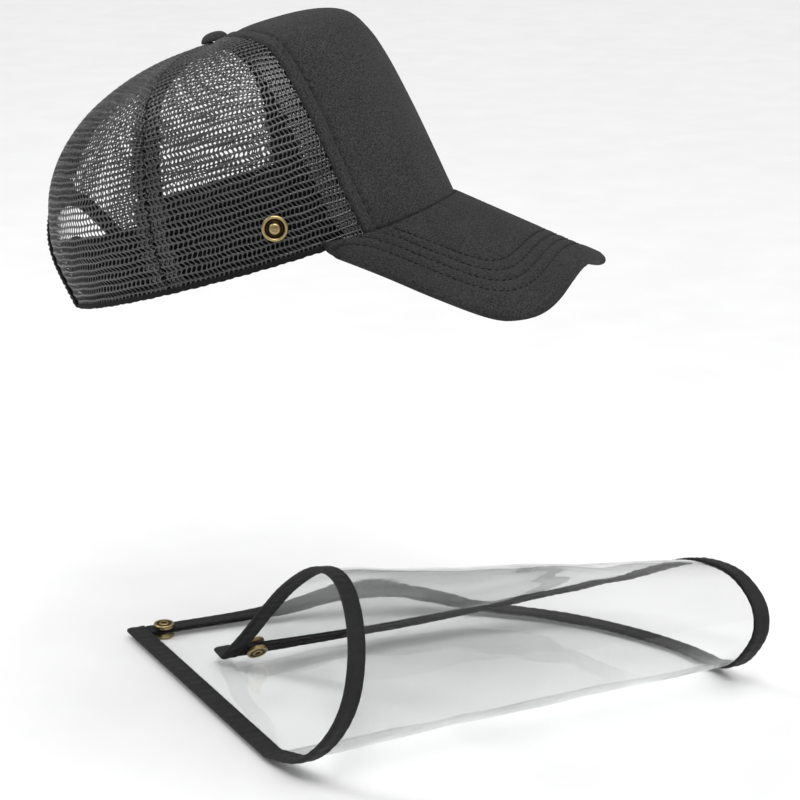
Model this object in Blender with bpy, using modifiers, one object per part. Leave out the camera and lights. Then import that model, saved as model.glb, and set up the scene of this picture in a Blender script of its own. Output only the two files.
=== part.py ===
"""A mesh-back cap with a foam front, worn at a tilt, and its clear snap-on face shield lying curled below it.

The cap is built in its own frame (front -Y, wearer's right -X, +Z up, origin at the centre of the
head opening) in millimetres, then tilted. The shield is built on its flat pattern and rolled.
"""

import math

import bpy
import numpy as np
from mathutils import Matrix, Vector

MM = 0.001
CAP_TILT_DEG = 18.0

# Crown: distance forward, sideways or back from the vertical line through the button, and height.
BUTTON_Y = -10.0
CROWN_FRONT = [(92, 0), (87.5, 25), (83, 50), (78, 75), (73.5, 90), (66, 101), (50, 106), (25, 107), (0, 105)]
CROWN_SIDE = [(81, 0), (84, 28), (83, 50), (78, 71), (66, 88), (46, 98.5), (24, 103.5), (0, 105)]
CROWN_BACK = [(111, 0), (114.5, 25), (112, 42), (104, 61), (89, 78), (66, 92.5), (36, 102), (0, 105)]
FRONT_BLEND = 1.6
BACK_BLEND = 2.0
CROWN_TOP = 0.962

# Angles round the crown, from the front, at which the panels meet.
FRONT_SEAM = 41.0
FRONT_SEAM_TOP = 52.0
SIDE_SEAM = 102.0
SIDE_SEAM_TOP = 98.0
SEAM_GAP = 0.35
CROWN_ROWS = 12

CLOTH_THICK = 1.0
MESH_THICK = 0.8
FOAM_THICK = 3.0
TAPE_THICK = 0.8
TAPE_WIDTH = 10.0
BAND_THICK = 1.8
BAND_ROWS = 2.7
BAND_END = 146.0
LAYER_GAP = 0.35

# Rear opening and the two straps across it.
ARCH_HALF_WIDTH = 34.0
ARCH_HEIGHT = 48.0
ARCH_BINDING = 7.0
STRAP_HEIGHT = 18.0
STRAP_LOW = 2.0
STRAP_THICK = 1.2
STRAP_SEWN_X = 41.0
STRAP_FREE_X = 23.0
STRAP_HINGE_X = 34.5
PEG_PITCH = 8.0
PEG_RADIUS = 1.9
PEG_HOLE_RADIUS = 2.5

# Visor: half of its outline as (sideways, forward), and how it slopes and arches.
VISOR_OUTLINE = [
    (68.5, 71), (67.5, 90), (67, 110), (65.2, 131),
    (61, 142), (52, 152), (39, 158), (21, 161), (0, 162),
]
VISOR_ROOT_ANGLE = 55.0
VISOR_SLOPE = 0.76
VISOR_ARCH = 0.0062
BOARD_THICK = 2.0
VISOR_CLOTH = 1.1
VISOR_EDGE = 2.6

# Snap studs, on the sides just above the rim.
STUD_ANGLE = 65.5
STUD_T = 0.10
SNAP_RADIUS = 6.2
POST_RADIUS = 1.6
POST_HOLE_RADIUS = 2.1

# Shield: flat pattern (a straight edge A to B, a long rounded bottom) and the roll it lies in.
SHIELD_LENGTH = 508.0
SHIELD_DEPTH = 300.0
SHIELD_CORNER_POWER = 2.5
SHEET_THICK = 0.6
BINDING_WIDTH = 10.0
BINDING_SLOT = 1.2
BINDING_OUTSIDE = 1.8
BINDING_FOLD = 1.2
BINDING_TAIL = 13.0
SHIELD_CORNER = (111.0, 140.0, -270.0)
ROLL_AXIS = (0.692, -0.722)
ROLL_START_WIDE = 190.0
ROLL_START_TIP = 183.0
# Section of the roll at the straight edge and at the tip: distance across, shift along the axis, height.
ROLL_WIDE = [
    (190, 16, 0), (222, 22, 10), (240, 30, 28), (246, 38, 50), (238, 45, 74), (216, 51, 91),
    (190, 54, 96), (160, 54, 88), (125, 52, 66), (99, 48, 42), (84, 42, 23), (69, 35, 4.5),
]
ROLL_TIP = [
    (183, 6, 0), (203, 3, 8), (219, 0, 21), (229, 0, 38), (225, 0, 53),
    (205, 0, 62), (180, 0, 61), (155, 0, 53), (110, 0, 28), (65, 0, 5),
]
EDGE_LIFT = 38.0
EDGE_LIFT_AT = 172.0
EDGE_LIFT_WIDTH = 68.0
EDGE_LIFT_SPREAD = 55.0
SHIELD_SNAP = 13.0


def clear_scene():
    for old in list(bpy.data.objects):
        bpy.data.objects.remove(old)


def new_collection(name, hidden=False):
    collection = bpy.data.collections.new(name)
    bpy.context.scene.collection.children.link(collection)
    collection.hide_render = hidden
    return collection


def material(name, colour, roughness, metallic=0.0):
    made = bpy.data.materials.new(name)
    made.use_nodes = True
    shader = made.node_tree.nodes["Principled BSDF"]
    shader.inputs["Base Color"].default_value = (*colour, 1.0)
    shader.inputs["Roughness"].default_value = roughness
    shader.inputs["Metallic"].default_value = metallic
    return made


def smooth_line(points, count):
    """Evenly spaced points on a smooth curve through the given ones."""
    points = np.array(points, float)
    ends = np.vstack([2 * points[0] - points[1], points, 2 * points[-1] - points[-2]])
    fine = []
    for i in range(1, len(ends) - 2):
        a, b, c, d = ends[i - 1 : i + 3]
        for t in np.linspace(0, 1, 30, endpoint=False):
            bend = (2 * a - 5 * b + 4 * c - d) * t**2 + (3 * b - a - 3 * c + d) * t**3
            fine.append(0.5 * (2 * b + (c - a) * t + bend))
    fine.append(points[-1])
    fine = np.array(fine)
    along = np.r_[0, np.cumsum(np.linalg.norm(np.diff(fine, axis=0), axis=1))]
    wanted = np.linspace(0, along[-1], count)
    return np.stack([np.interp(wanted, along, fine[:, k]) for k in range(fine.shape[1])], axis=1)


def ease(value):
    value = min(max(value, 0.0), 1.0)
    return value * value * (3 - 2 * value)


def unit(vector):
    return vector / np.linalg.norm(vector)


# ---------------------------------------------------------------- crown surface

PROFILE_STEPS = 61
FRONT_LINE = smooth_line(CROWN_FRONT, PROFILE_STEPS)
SIDE_LINE = smooth_line(CROWN_SIDE, PROFILE_STEPS)
BACK_LINE = smooth_line(CROWN_BACK, PROFILE_STEPS)


def on_line(line, t):
    place = t * (PROFILE_STEPS - 1)
    steps = np.arange(PROFILE_STEPS)
    return np.interp(place, steps, line[:, 0]), np.interp(place, steps, line[:, 1])


def crown_skin(angle, t):
    """The crown's outer surface: angle in degrees from the front, t from the rim (0) to the button (1)."""
    turn = math.radians(angle)
    lengthwise = math.cos(turn)
    side, side_z = on_line(SIDE_LINE, t)
    if lengthwise > 0:
        reach, reach_z = on_line(FRONT_LINE, t)
        share = lengthwise**FRONT_BLEND
    else:
        reach, reach_z = on_line(BACK_LINE, t)
        share = (-lengthwise) ** BACK_BLEND
    z = share * reach_z + (1 - share) * side_z
    return np.array([-math.sin(turn) * side, BUTTON_Y - lengthwise * reach, z])


def crown_normal(angle, t):
    low, high = max(t - 0.01, 0.0), min(t + 0.01, 1.0)
    round_way = crown_skin(angle + 0.5, t) - crown_skin(angle - 0.5, t)
    up_way = crown_skin(angle, high) - crown_skin(angle, low)
    return unit(np.cross(up_way, round_way))


def crown(angle, t, inward=0.0):
    return crown_skin(angle, t) - inward * crown_normal(angle, t)


def radius_at(angle, t):
    skin = crown_skin(angle, t)
    return max(math.hypot(skin[0], skin[1] - BUTTON_Y), 1.0)


def front_seam(t):
    return FRONT_SEAM + (FRONT_SEAM_TOP - FRONT_SEAM) * ease((t - 0.3) / 0.6)


def side_seam(t):
    return SIDE_SEAM + (SIDE_SEAM_TOP - SIDE_SEAM) * ease(t / 0.5)


def back_seam(t):
    return 180.0


def shifted(seam, sideways):
    """A seam moved round the crown by a distance in millimetres."""
    return lambda t: seam(t) + math.degrees(sideways / radius_at(seam(t), t))


# ---------------------------------------------------------------- making objects


def enclosed_volume(points, faces):
    total = 0.0
    for face in faces:
        for b, c in zip(face[1:], face[2:]):
            total += np.dot(points[face[0]], np.cross(points[b], points[c]))
    return total / 6


def add_mesh(name, points, faces, mat, collection, frame):
    """A closed mesh whose faces all turn the same way; they are turned outward here."""
    if enclosed_volume(points, faces) < 0:
        faces = [face[::-1] for face in faces]
    mesh = bpy.data.meshes.new(name)
    mesh.from_pydata([Vector(p) * MM for p in points], [], faces)
    mesh.polygons.foreach_set("use_smooth", [True] * len(mesh.polygons))
    mesh.materials.append(mat)
    made = bpy.data.objects.new(name, mesh)
    made.parent = frame
    collection.objects.link(made)
    return made


def grid_faces(rows, columns, flip=False):
    faces = []
    for i in range(rows - 1):
        for j in range(columns - 1):
            a = i * columns + j
            face = [a, a + 1, a + columns + 1, a + columns]
            faces.append(face[::-1] if flip else face)
    return faces


def slab(name, top, bottom, mat, collection, frame):
    """A closed body between two grids of points, top[i][j] above bottom[i][j]."""
    rows, columns = len(top), len(top[0])
    points = [p for row in top for p in row] + [p for row in bottom for p in row]
    half = rows * columns
    faces = grid_faces(rows, columns)
    faces += [[half + k for k in face[::-1]] for face in grid_faces(rows, columns)]
    rim = list(range(columns))
    rim += [i * columns + columns - 1 for i in range(1, rows)]
    rim += [(rows - 1) * columns + j for j in range(columns - 2, -1, -1)]
    rim += [i * columns for i in range(rows - 2, 0, -1)]
    for a, b in zip(rim, rim[1:] + rim[:1]):
        faces.append([b, a, half + a, half + b])
    return add_mesh(name, points, faces, mat, collection, frame)


def row_t(row):
    return CROWN_TOP * row / CROWN_ROWS


def crown_piece(name, left, right, rows, inward, thick, columns, mat, collection, frame):
    """A layer of the crown between two seams, given as angles that depend on t, over a range of rows."""

    def layer(depth):
        grid = []
        for t in [row_t(row) for row in np.linspace(*rows, math.ceil(rows[1] - rows[0]) + 1)]:
            angles = np.linspace(left(t), right(t), columns + 1)
            grid.append([crown(a, t, depth(a) if callable(depth) else depth) for a in angles])
        return grid

    if callable(inward):
        return slab(name, layer(inward), layer(lambda a: inward(a) + thick), mat, collection, frame)
    return slab(name, layer(inward), layer(inward + thick), mat, collection, frame)


def turned(name, profile, mat, collection, frame, place, steps=20):
    """A body turned round its own Z from (radius, height) points, top first, then placed."""
    mesh = bpy.data.meshes.new(name)
    points = [(r * MM, 0.0, z * MM) for r, z in profile]
    mesh.from_pydata(points, [(i, i + 1) for i in range(len(points) - 1)], [])
    mesh.materials.append(mat)
    made = bpy.data.objects.new(name, mesh)
    collection.objects.link(made)
    made.parent = frame
    made.matrix_local = place
    screw = made.modifiers.new("turn", "SCREW")
    screw.steps = steps
    screw.render_steps = steps
    screw.use_merge_vertices = True
    screw.merge_threshold = 0.00001
    screw.use_smooth_shade = True
    return made


def pointing(position, direction, spin=None):
    """A matrix that puts an object's origin at a point, in mm, with its Z along the direction."""
    z = Vector(direction).normalized()
    x = Vector(spin) if spin is not None else Vector((0, 0, 1)).cross(z)
    if x.length < 1e-6:
        x = Vector((1, 0, 0))
    x = (x - z * x.dot(z)).normalized()
    y = z.cross(x)
    matrix = Matrix((x, y, z)).transposed().to_4x4()
    matrix.translation = Vector(position) * MM
    return matrix


def cut(target, cutter):
    modifier = target.modifiers.new("cut", "BOOLEAN")
    modifier.operation = "DIFFERENCE"
    modifier.solver = "EXACT"
    modifier.object = cutter


def rod_cutter(name, radius, low, high, cutters, frame, place, sides=24):
    """A round cutter along its own Z from low to high."""
    profile = [(0.0, high), (radius, high), (radius, low), (0.0, low)]
    made = turned(name, profile, None, cutters, frame, place, sides)
    made.display_type = "WIRE"
    made.hide_render = True
    return made


# ---------------------------------------------------------------- the crown's pieces


def build_front(parts, frame, cloth, foam):
    edge = shifted(front_seam, -SEAM_GAP)
    crown_piece(
        "front_panel", lambda t: -edge(t), edge, (0, CROWN_ROWS), 0.0, CLOTH_THICK, 14, cloth, parts, frame
    )
    inner = shifted(front_seam, -TAPE_WIDTH / 2 - 0.8)
    crown_piece(
        "front_foam",
        lambda t: -inner(t),
        inner,
        (0, CROWN_ROWS - 1),
        CLOTH_THICK + LAYER_GAP,
        FOAM_THICK,
        14,
        foam,
        parts,
        frame,
    )


def mirrored(seam, side):
    return lambda t: side * seam(t)


def build_mesh_panels(parts, cutters, frame, net):
    arch = rear_arch_cutter(cutters, frame)
    made = {}
    for side, word in ((1, "right"), (-1, "left")):
        spans = {
            "side": (shifted(front_seam, SEAM_GAP), shifted(side_seam, -SEAM_GAP), 9),
            "back": (shifted(side_seam, SEAM_GAP), shifted(back_seam, -SEAM_GAP), 11),
        }
        for place, (first, last, columns) in spans.items():
            left, right = mirrored(first, side), mirrored(last, side)
            if side < 0:
                left, right = right, left
            name = f"mesh_{place}_{word}"
            panel = crown_piece(
                name, left, right, (0, CROWN_ROWS), 0.0, MESH_THICK, columns, net, parts, frame
            )
            made[name] = panel
            if place == "back":
                cut(panel, arch)
    return made


def rear_arch_cutter(cutters, frame):
    """A half-oval bar along Y that opens the crown above the straps."""
    outline = []
    for step in range(25):
        turn = math.pi * step / 24
        outline.append((ARCH_HALF_WIDTH * math.cos(turn), ARCH_HEIGHT * math.sin(turn)))
    outline = [(ARCH_HALF_WIDTH, -20.0)] + outline + [(-ARCH_HALF_WIDTH, -20.0)]
    count = len(outline)
    points = [(x, 40.0, z) for x, z in outline] + [(x, 160.0, z) for x, z in outline]
    faces = [list(range(count)), list(range(2 * count - 1, count - 1, -1))]
    for i in range(count):
        j = (i + 1) % count
        faces.append([j, i, count + i, count + j])
    made = add_mesh("cut_rear_arch", points, faces, None, cutters, frame)
    made.display_type = "WIRE"
    made.hide_render = True
    return made


def back_surface(x, z):
    """Angle and t of the crown at the back, at a given sideways place and height."""
    angle, t = 180.0, z / 170.0
    for _ in range(40):
        side = on_line(SIDE_LINE, t)[0]
        angle = 180.0 + math.degrees(math.asin(max(-1.0, min(1.0, x / side))))
        t = max(t + (z - crown_skin(angle, t)[2]) / 170.0, 0.0)
    return angle, t


def build_rear_binding(parts, frame, tape):
    """The tape that borders the rear opening, on the outside of the mesh."""
    grids = []
    for depth in (-LAYER_GAP - 0.9, -LAYER_GAP):
        grid = []
        for step in range(29):
            turn = math.pi * step / 28
            row = []
            for widen in (0.5, ARCH_BINDING / 2, ARCH_BINDING):
                x = (ARCH_HALF_WIDTH + widen) * math.cos(turn)
                z = (ARCH_HEIGHT + widen) * math.sin(turn)
                row.append(crown(*back_surface(x, z), depth))
            grid.append(row)
        grids.append(grid)
    slab("rear_opening_binding", *grids, tape, parts, frame)


def build_tapes(parts, frame, tape):
    seams = {
        "seam_tape_front_right": (front_seam, 1, 0),
        "seam_tape_front_left": (front_seam, -1, 0),
        "seam_tape_side_right": (side_seam, 1, 0),
        "seam_tape_side_left": (side_seam, -1, 0),
        "seam_tape_back": (back_seam, 1, 5),
    }
    for name, (seam, side, start) in seams.items():
        low, high = shifted(seam, -TAPE_WIDTH / 2), shifted(seam, TAPE_WIDTH / 2)
        left, right = mirrored(low, side), mirrored(high, side)
        if side < 0:
            left, right = right, left
        depth = CLOTH_THICK + LAYER_GAP
        crown_piece(name, left, right, (start, CROWN_ROWS - 1), depth, TAPE_THICK, 2, tape, parts, frame)


def band_depth(angle):
    """How far inside the crown's skin the sweatband lies: behind the foam in front, closer elsewhere."""
    over_foam = CLOTH_THICK + 2 * LAYER_GAP + FOAM_THICK
    over_tape = CLOTH_THICK + 2 * LAYER_GAP + TAPE_THICK
    return over_tape + (over_foam - over_tape) * ease((52.0 - abs(angle)) / 12.0)


def build_sweatband(parts, frame, terry):
    return crown_piece(
        "sweatband",
        lambda t: -BAND_END,
        lambda t: BAND_END,
        (0, BAND_ROWS),
        band_depth,
        BAND_THICK,
        48,
        terry,
        parts,
        frame,
    )


def build_button(parts, frame, cloth, metal):
    apex = crown_skin(0.0, 1.0)
    place = pointing(apex, (0, 0, 1))
    cover = [(0, 4.6), (3, 4.3), (5.2, 3.4), (6.6, 1.9), (6.9, 0.6), (2.6, 0.6), (2.6, -0.2), (0, -0.2)]
    turned("top_button", cover, cloth, parts, frame, place)
    rivet = [(0, -0.6), (2.0, -0.6), (2.0, -2.2), (7.5, -2.4), (7.0, -3.4), (0, -3.8)]
    turned("top_button_rivet", rivet, metal, parts, frame, place)


# ---------------------------------------------------------------- straps across the rear opening


def strap_point(x, height, depth):
    return crown(*back_surface(x, height), depth)


def build_strap(name, from_x, to_x, depth, plastic, parts, frame, hinge_x):
    """A curved plastic strap; its origin is on the line where it bends at the edge of the opening."""
    xs = np.linspace(from_x, to_x, 17)
    grids = []
    for layer in (depth, depth + STRAP_THICK):
        grid = []
        for z in np.linspace(STRAP_LOW, STRAP_LOW + STRAP_HEIGHT, 3):
            grid.append([strap_point(x, z, layer) for x in xs])
        grids.append(grid)
    strap = slab(name, *grids, plastic, parts, frame)
    move_origin(strap, strap_point(hinge_x, STRAP_LOW + STRAP_HEIGHT / 2, depth + STRAP_THICK / 2))
    return strap


def move_origin(obj, place):
    """Puts the origin of a finished mesh at a point of the cap's frame, leaving its shape where it is."""
    shift = Vector(place) * MM
    obj.data.transform(Matrix.Translation(-shift))
    obj.location = shift


def strap_station(x, depth):
    height = STRAP_LOW + STRAP_HEIGHT / 2
    angle, t = back_surface(x, height)
    return crown(angle, t, depth), crown_normal(angle, t)


def build_straps(parts, cutters, frame, plastic):
    outer_depth, inner_depth = 3.2, 4.8
    outer = build_strap(
        "strap_with_holes", -STRAP_FREE_X, STRAP_SEWN_X, outer_depth, plastic, parts, frame, STRAP_HINGE_X
    )
    inner = build_strap(
        "strap_with_pegs", -STRAP_SEWN_X, STRAP_FREE_X, inner_depth, plastic, parts, frame, -STRAP_HINGE_X
    )
    for i in range(7):
        x = -18.0 + PEG_PITCH * i
        place = pointing(*strap_station(x, outer_depth))
        hole = rod_cutter(f"cut_strap_hole_{i}", PEG_HOLE_RADIUS, -5, 3, cutters, frame, place, 16)
        cut(outer, hole)
    for i in range(7):
        x = 14.0 - PEG_PITCH * i
        place = pointing(*strap_station(x, inner_depth))
        profile = [(0.0, 1.7), (PEG_RADIUS - 0.3, 1.6), (PEG_RADIUS, 1.2), (PEG_RADIUS, -0.6), (0.0, -0.6)]
        peg = turned(f"join_peg_{i}", profile, plastic, cutters, frame, place, 16)
        peg.display_type = "WIRE"
        peg.hide_render = True
        join = inner.modifiers.new("peg", "BOOLEAN")
        join.operation = "UNION"
        join.solver = "EXACT"
        join.object = peg


# ---------------------------------------------------------------- visor

VISOR_STEPS = 20
VISOR_HALF = smooth_line(VISOR_OUTLINE, VISOR_STEPS // 2 + 1)
RIM_FRONT = CROWN_FRONT[0][0] - BUTTON_Y


def visor_height(x, forward):
    return VISOR_SLOPE * (RIM_FRONT - forward) - VISOR_ARCH * x * x


def visor_point(column, v, up, widen=0.0):
    """column runs from the wearer's left corner to the right one; v from the root (0) to the edge (1)."""
    half = VISOR_STEPS // 2
    side = -1.0 if column > half else 1.0
    out_x, out_f = VISOR_HALF[min(column, VISOR_STEPS - column)]
    angle = VISOR_ROOT_ANGLE * (column - half) / half
    root = crown_skin(angle, 0.0)
    away = unit(np.array([root[0], root[1] - BUTTON_Y, 0.0]))
    root = root + (0.6 + 0.8 * abs(up)) * away
    start = np.array([root[0], -root[1]])
    end = np.array([side * out_x, out_f])
    end = end + unit(end - start) * (widen - VISOR_EDGE)
    x, forward = start + (end - start) * v
    normal = unit(np.array([2 * VISOR_ARCH * x, -VISOR_SLOPE, 1.0]))
    return np.array([x, -forward, visor_height(x, forward)]) + up * normal


def visor_layer(rows, up, last=()):
    """A grid of the visor at one height, with more rows beyond its edge given as (widen, up)."""
    grid = [[visor_point(c, v, up) for c in range(VISOR_STEPS + 1)] for v in np.linspace(0, 1, rows + 1)]
    for widen, height in last:
        grid.append([visor_point(c, 1.0, height, widen) for c in range(VISOR_STEPS + 1)])
    return grid


def build_visor(parts, frame, cloth, board):
    half = BOARD_THICK / 2
    top = half + LAYER_GAP
    low = -half - LAYER_GAP - VISOR_CLOTH
    slab("visor_board", visor_layer(4, half), visor_layer(4, -half), board, parts, frame)
    outer = [(VISOR_EDGE * 0.55, top + VISOR_CLOTH * 0.72), (VISOR_EDGE, 0.6), (VISOR_EDGE, low)]
    inner = [(0.35, top), (0.9, 0.6), (0.9, low)]
    slab(
        "visor_top_cover",
        visor_layer(4, top + VISOR_CLOTH, outer),
        visor_layer(4, top, inner),
        cloth,
        parts,
        frame,
    )
    slab(
        "visor_under_cover",
        visor_layer(4, -half - LAYER_GAP),
        visor_layer(4, low),
        cloth,
        parts,
        frame,
    )


# ---------------------------------------------------------------- snap studs on the cap


def build_studs(parts, cutters, frame, brass, panels, sweatband):
    stud = [
        (0, 3.3), (1.5, 3.1), (2.6, 2.4), (2.9, 1.1), (4.3, 1.1), (4.9, 1.9),
        (5.7, 1.9), (SNAP_RADIUS, 1.3), (SNAP_RADIUS - 0.3, 0.35),
        (POST_RADIUS, 0.35), (POST_RADIUS, -5.9), (0, -5.9),
    ]
    band = band_depth(STUD_ANGLE) + BAND_THICK + LAYER_GAP
    backing = [
        (POST_HOLE_RADIUS, -band), (SNAP_RADIUS - 0.4, -band), (SNAP_RADIUS - 0.2, -band - 0.7),
        (SNAP_RADIUS - 1.0, -band - 1.3), (POST_HOLE_RADIUS, -band - 1.3), (POST_HOLE_RADIUS, -band),
    ]
    for side, word in ((1, "right"), (-1, "left")):
        angle = side * STUD_ANGLE
        place = pointing(crown_skin(angle, STUD_T), crown_normal(angle, STUD_T))
        turned(f"snap_stud_{word}", stud, brass, parts, frame, place)
        turned(f"snap_backing_{word}", backing, brass, parts, frame, place)
        hole = rod_cutter(f"cut_stud_{word}", POST_HOLE_RADIUS, -8, 3, cutters, frame, place, 16)
        cut(panels[f"mesh_side_{word}"], hole)
        cut(sweatband, hole)


# ---------------------------------------------------------------- shield

ROLL_STEPS = 90


def line_length(line):
    return float(np.linalg.norm(np.diff(line[:, [0, 2]], axis=0), axis=1).sum())


WIDE_LINE = smooth_line(ROLL_WIDE, ROLL_STEPS)
TIP_LINE = smooth_line(ROLL_TIP, ROLL_STEPS)
WIDE_LENGTH = line_length(WIDE_LINE)
TIP_LENGTH = line_length(TIP_LINE)
AXIS = unit(np.array([*ROLL_AXIS, 0.0]))
ACROSS = np.array([AXIS[1], -AXIS[0], 0.0])


def sheet_middle(along, down):
    """A point of the flat pattern in place: along from corner A to corner B, down from the straight edge."""
    w = min(max(down / SHIELD_DEPTH, 0.0), 1.0)
    start = ROLL_START_WIDE + (ROLL_START_TIP - ROLL_START_WIDE) * w
    length = WIDE_LENGTH + (TIP_LENGTH - WIDE_LENGTH) * w * w
    f = (along - start) / length
    place = min(max(f, 0.0), 1.0) * (ROLL_STEPS - 1)
    steps = np.arange(ROLL_STEPS)
    wide = np.array([np.interp(place, steps, WIDE_LINE[:, k]) for k in range(3)])
    tip = np.array([np.interp(place, steps, TIP_LINE[:, k]) for k in range(3)])
    across, shift, height = wide + (tip - wide) * w
    if f < 0:
        across, height = along, 0.0
        shift = shift * max(along, 0.0) / start
    if f > 1:
        across -= (f - 1) * length
    lifted = min(max(1 - along / EDGE_LIFT_WIDTH, 0.0), 1.0) ** 2
    height += EDGE_LIFT * lifted * math.exp(-(((down - EDGE_LIFT_AT) / EDGE_LIFT_SPREAD) ** 2))
    return np.array(SHIELD_CORNER) + ACROSS * across + AXIS * (shift + down) + np.array([0.0, 0.0, height])


def sheet_normal(along, down):
    one = sheet_middle(along + 3.0, down) - sheet_middle(along - 3.0, down)
    two = sheet_middle(along, down + 3.0) - sheet_middle(along, down - 3.0)
    normal = unit(np.cross(one, two))
    return normal


def sheet_point(along, down, off=0.0):
    return sheet_middle(along, down) + off * sheet_normal(along, down)


def pattern_point(u, v, inset=0.0):
    """The flat pattern: u from -1 (side A) to 1 (side B), v from 0 (straight edge) to 1 (rounded bottom)."""
    a = u * math.sqrt(1 - v * v / 2)
    b = v * math.sqrt(1 - u * u / 2)
    r = math.hypot(a, b)
    if r > 1e-9:
        p = SHIELD_CORNER_POWER
        grow = (abs(a / r) ** p + abs(b / r) ** p) ** (-1 / p)
        a, b = a * grow, b * grow
    half = SHIELD_LENGTH / 2
    return np.array([half + a * (half - inset), inset + b * (SHIELD_DEPTH - 2 * inset)])


SHEET_COLUMNS = 64
SHEET_ROWS = 12


def build_sheet(parts, frame, clear):
    def layer(off):
        grid = []
        for v in np.linspace(0, 1, SHEET_ROWS + 1):
            row = []
            for u in np.linspace(-1, 1, SHEET_COLUMNS + 1):
                along, down = pattern_point(u, v, 0.9)
                row.append(sheet_point(along, down, off))
            grid.append(row)
        return grid

    half = SHEET_THICK / 2
    return slab("shield_sheet", layer(half), layer(-half), clear, parts, frame)


def binding_body(name, path, inward, tape, parts, frame):
    """A tape folded over an edge of the sheet: path and inward are places and directions on the pattern."""
    half_section = [
        (-BINDING_FOLD, BINDING_OUTSIDE), (BINDING_WIDTH, BINDING_OUTSIDE),
        (BINDING_WIDTH, BINDING_SLOT), (0.3, BINDING_SLOT),
    ]
    section = half_section + [(depth, -off) for depth, off in half_section[::-1]]
    points = []
    for place, way in zip(path, inward):
        for depth, off in section:
            along, down = place + depth * way
            points.append(sheet_point(along, down, off))
    size = len(section)
    faces = []
    for i in range(len(path) - 1):
        for j in range(size):
            a, b = i * size + j, i * size + (j + 1) % size
            faces.append([a, b, b + size, a + size])
    last = (len(path) - 1) * size
    for first, flip in ((0, False), (last, True)):
        for corners in ((0, 1, 2, 3), (7, 4, 5, 6), (0, 3, 4, 7)):
            cap = [first + k for k in corners]
            faces.append(cap if flip else cap[::-1])
    return add_mesh(name, points, faces, tape, parts, frame)


def build_bindings(parts, frame, tape):
    tops = [pattern_point(u, 0.0) for u in np.linspace(-1, 1, SHEET_COLUMNS + 1)]
    tops[0] = tops[0] + np.array([-BINDING_FOLD, 0.0])
    tops = tops + [tops[-1] + np.array([BINDING_TAIL * k / 2, 0.0]) for k in (1, 2)]
    top = binding_body("binding_straight_edge", tops, [np.array([0.0, 1.0])] * len(tops), tape, parts, frame)
    rows = np.linspace(0, 1, SHEET_ROWS + 1)
    edge = [pattern_point(-1.0, v) for v in rows]
    edge += [pattern_point(u, 1.0) for u in np.linspace(-1, 1, SHEET_COLUMNS + 1)[1:-1]]
    edge += [pattern_point(1.0, v) for v in rows[::-1]]
    clear_of_top = BINDING_WIDTH + 0.5
    edge[0] = np.array([edge[0][0], clear_of_top])
    edge[-1] = np.array([edge[-1][0], clear_of_top])
    inward = []
    for i, place in enumerate(edge):
        before, after = edge[max(i - 1, 0)], edge[min(i + 1, len(edge) - 1)]
        run = unit(after - before)
        inward.append(np.array([run[1], -run[0]]))
    inward[0], inward[-1] = np.array([1.0, 0.0]), np.array([-1.0, 0.0])
    outline = binding_body("binding_curved_edge", edge, inward, tape, parts, frame)
    return top, outline


def build_shield_snaps(parts, cutters, frame, brass, pierced):
    stand = BINDING_OUTSIDE + 0.6
    socket = [
        (1.9, stand + 2.4), (4.4, stand + 2.4), (5.6, stand + 1.9), (SNAP_RADIUS, stand + 0.7),
        (SNAP_RADIUS - 0.3, stand), (POST_HOLE_RADIUS + 0.1, stand), (1.9, stand + 0.5), (1.9, stand + 2.4),
    ]
    cap = [
        (0, stand - 0.2), (POST_RADIUS - 0.2, stand - 0.2),
        (POST_RADIUS - 0.2, -stand), (SNAP_RADIUS - 0.5, -stand),
        (SNAP_RADIUS - 0.3, -stand - 0.5), (SNAP_RADIUS - 1.4, -stand - 1.1), (0, -stand - 1.3),
    ]
    corners = {"a": SHIELD_SNAP - 6.0, "b": SHIELD_LENGTH - SHIELD_SNAP + 6.0}
    for word, along in corners.items():
        middle = sheet_middle(along, SHIELD_SNAP + 6.0)
        place = pointing(middle, sheet_normal(along, SHIELD_SNAP + 6.0))
        turned(f"shield_socket_{word}", socket, brass, parts, frame, place)
        turned(f"shield_snap_cap_{word}", cap, brass, parts, frame, place)
        hole = rod_cutter(f"cut_shield_{word}", POST_HOLE_RADIUS, -4, 4, cutters, frame, place, 16)
        for target in pierced:
            cut(target, hole)


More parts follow.
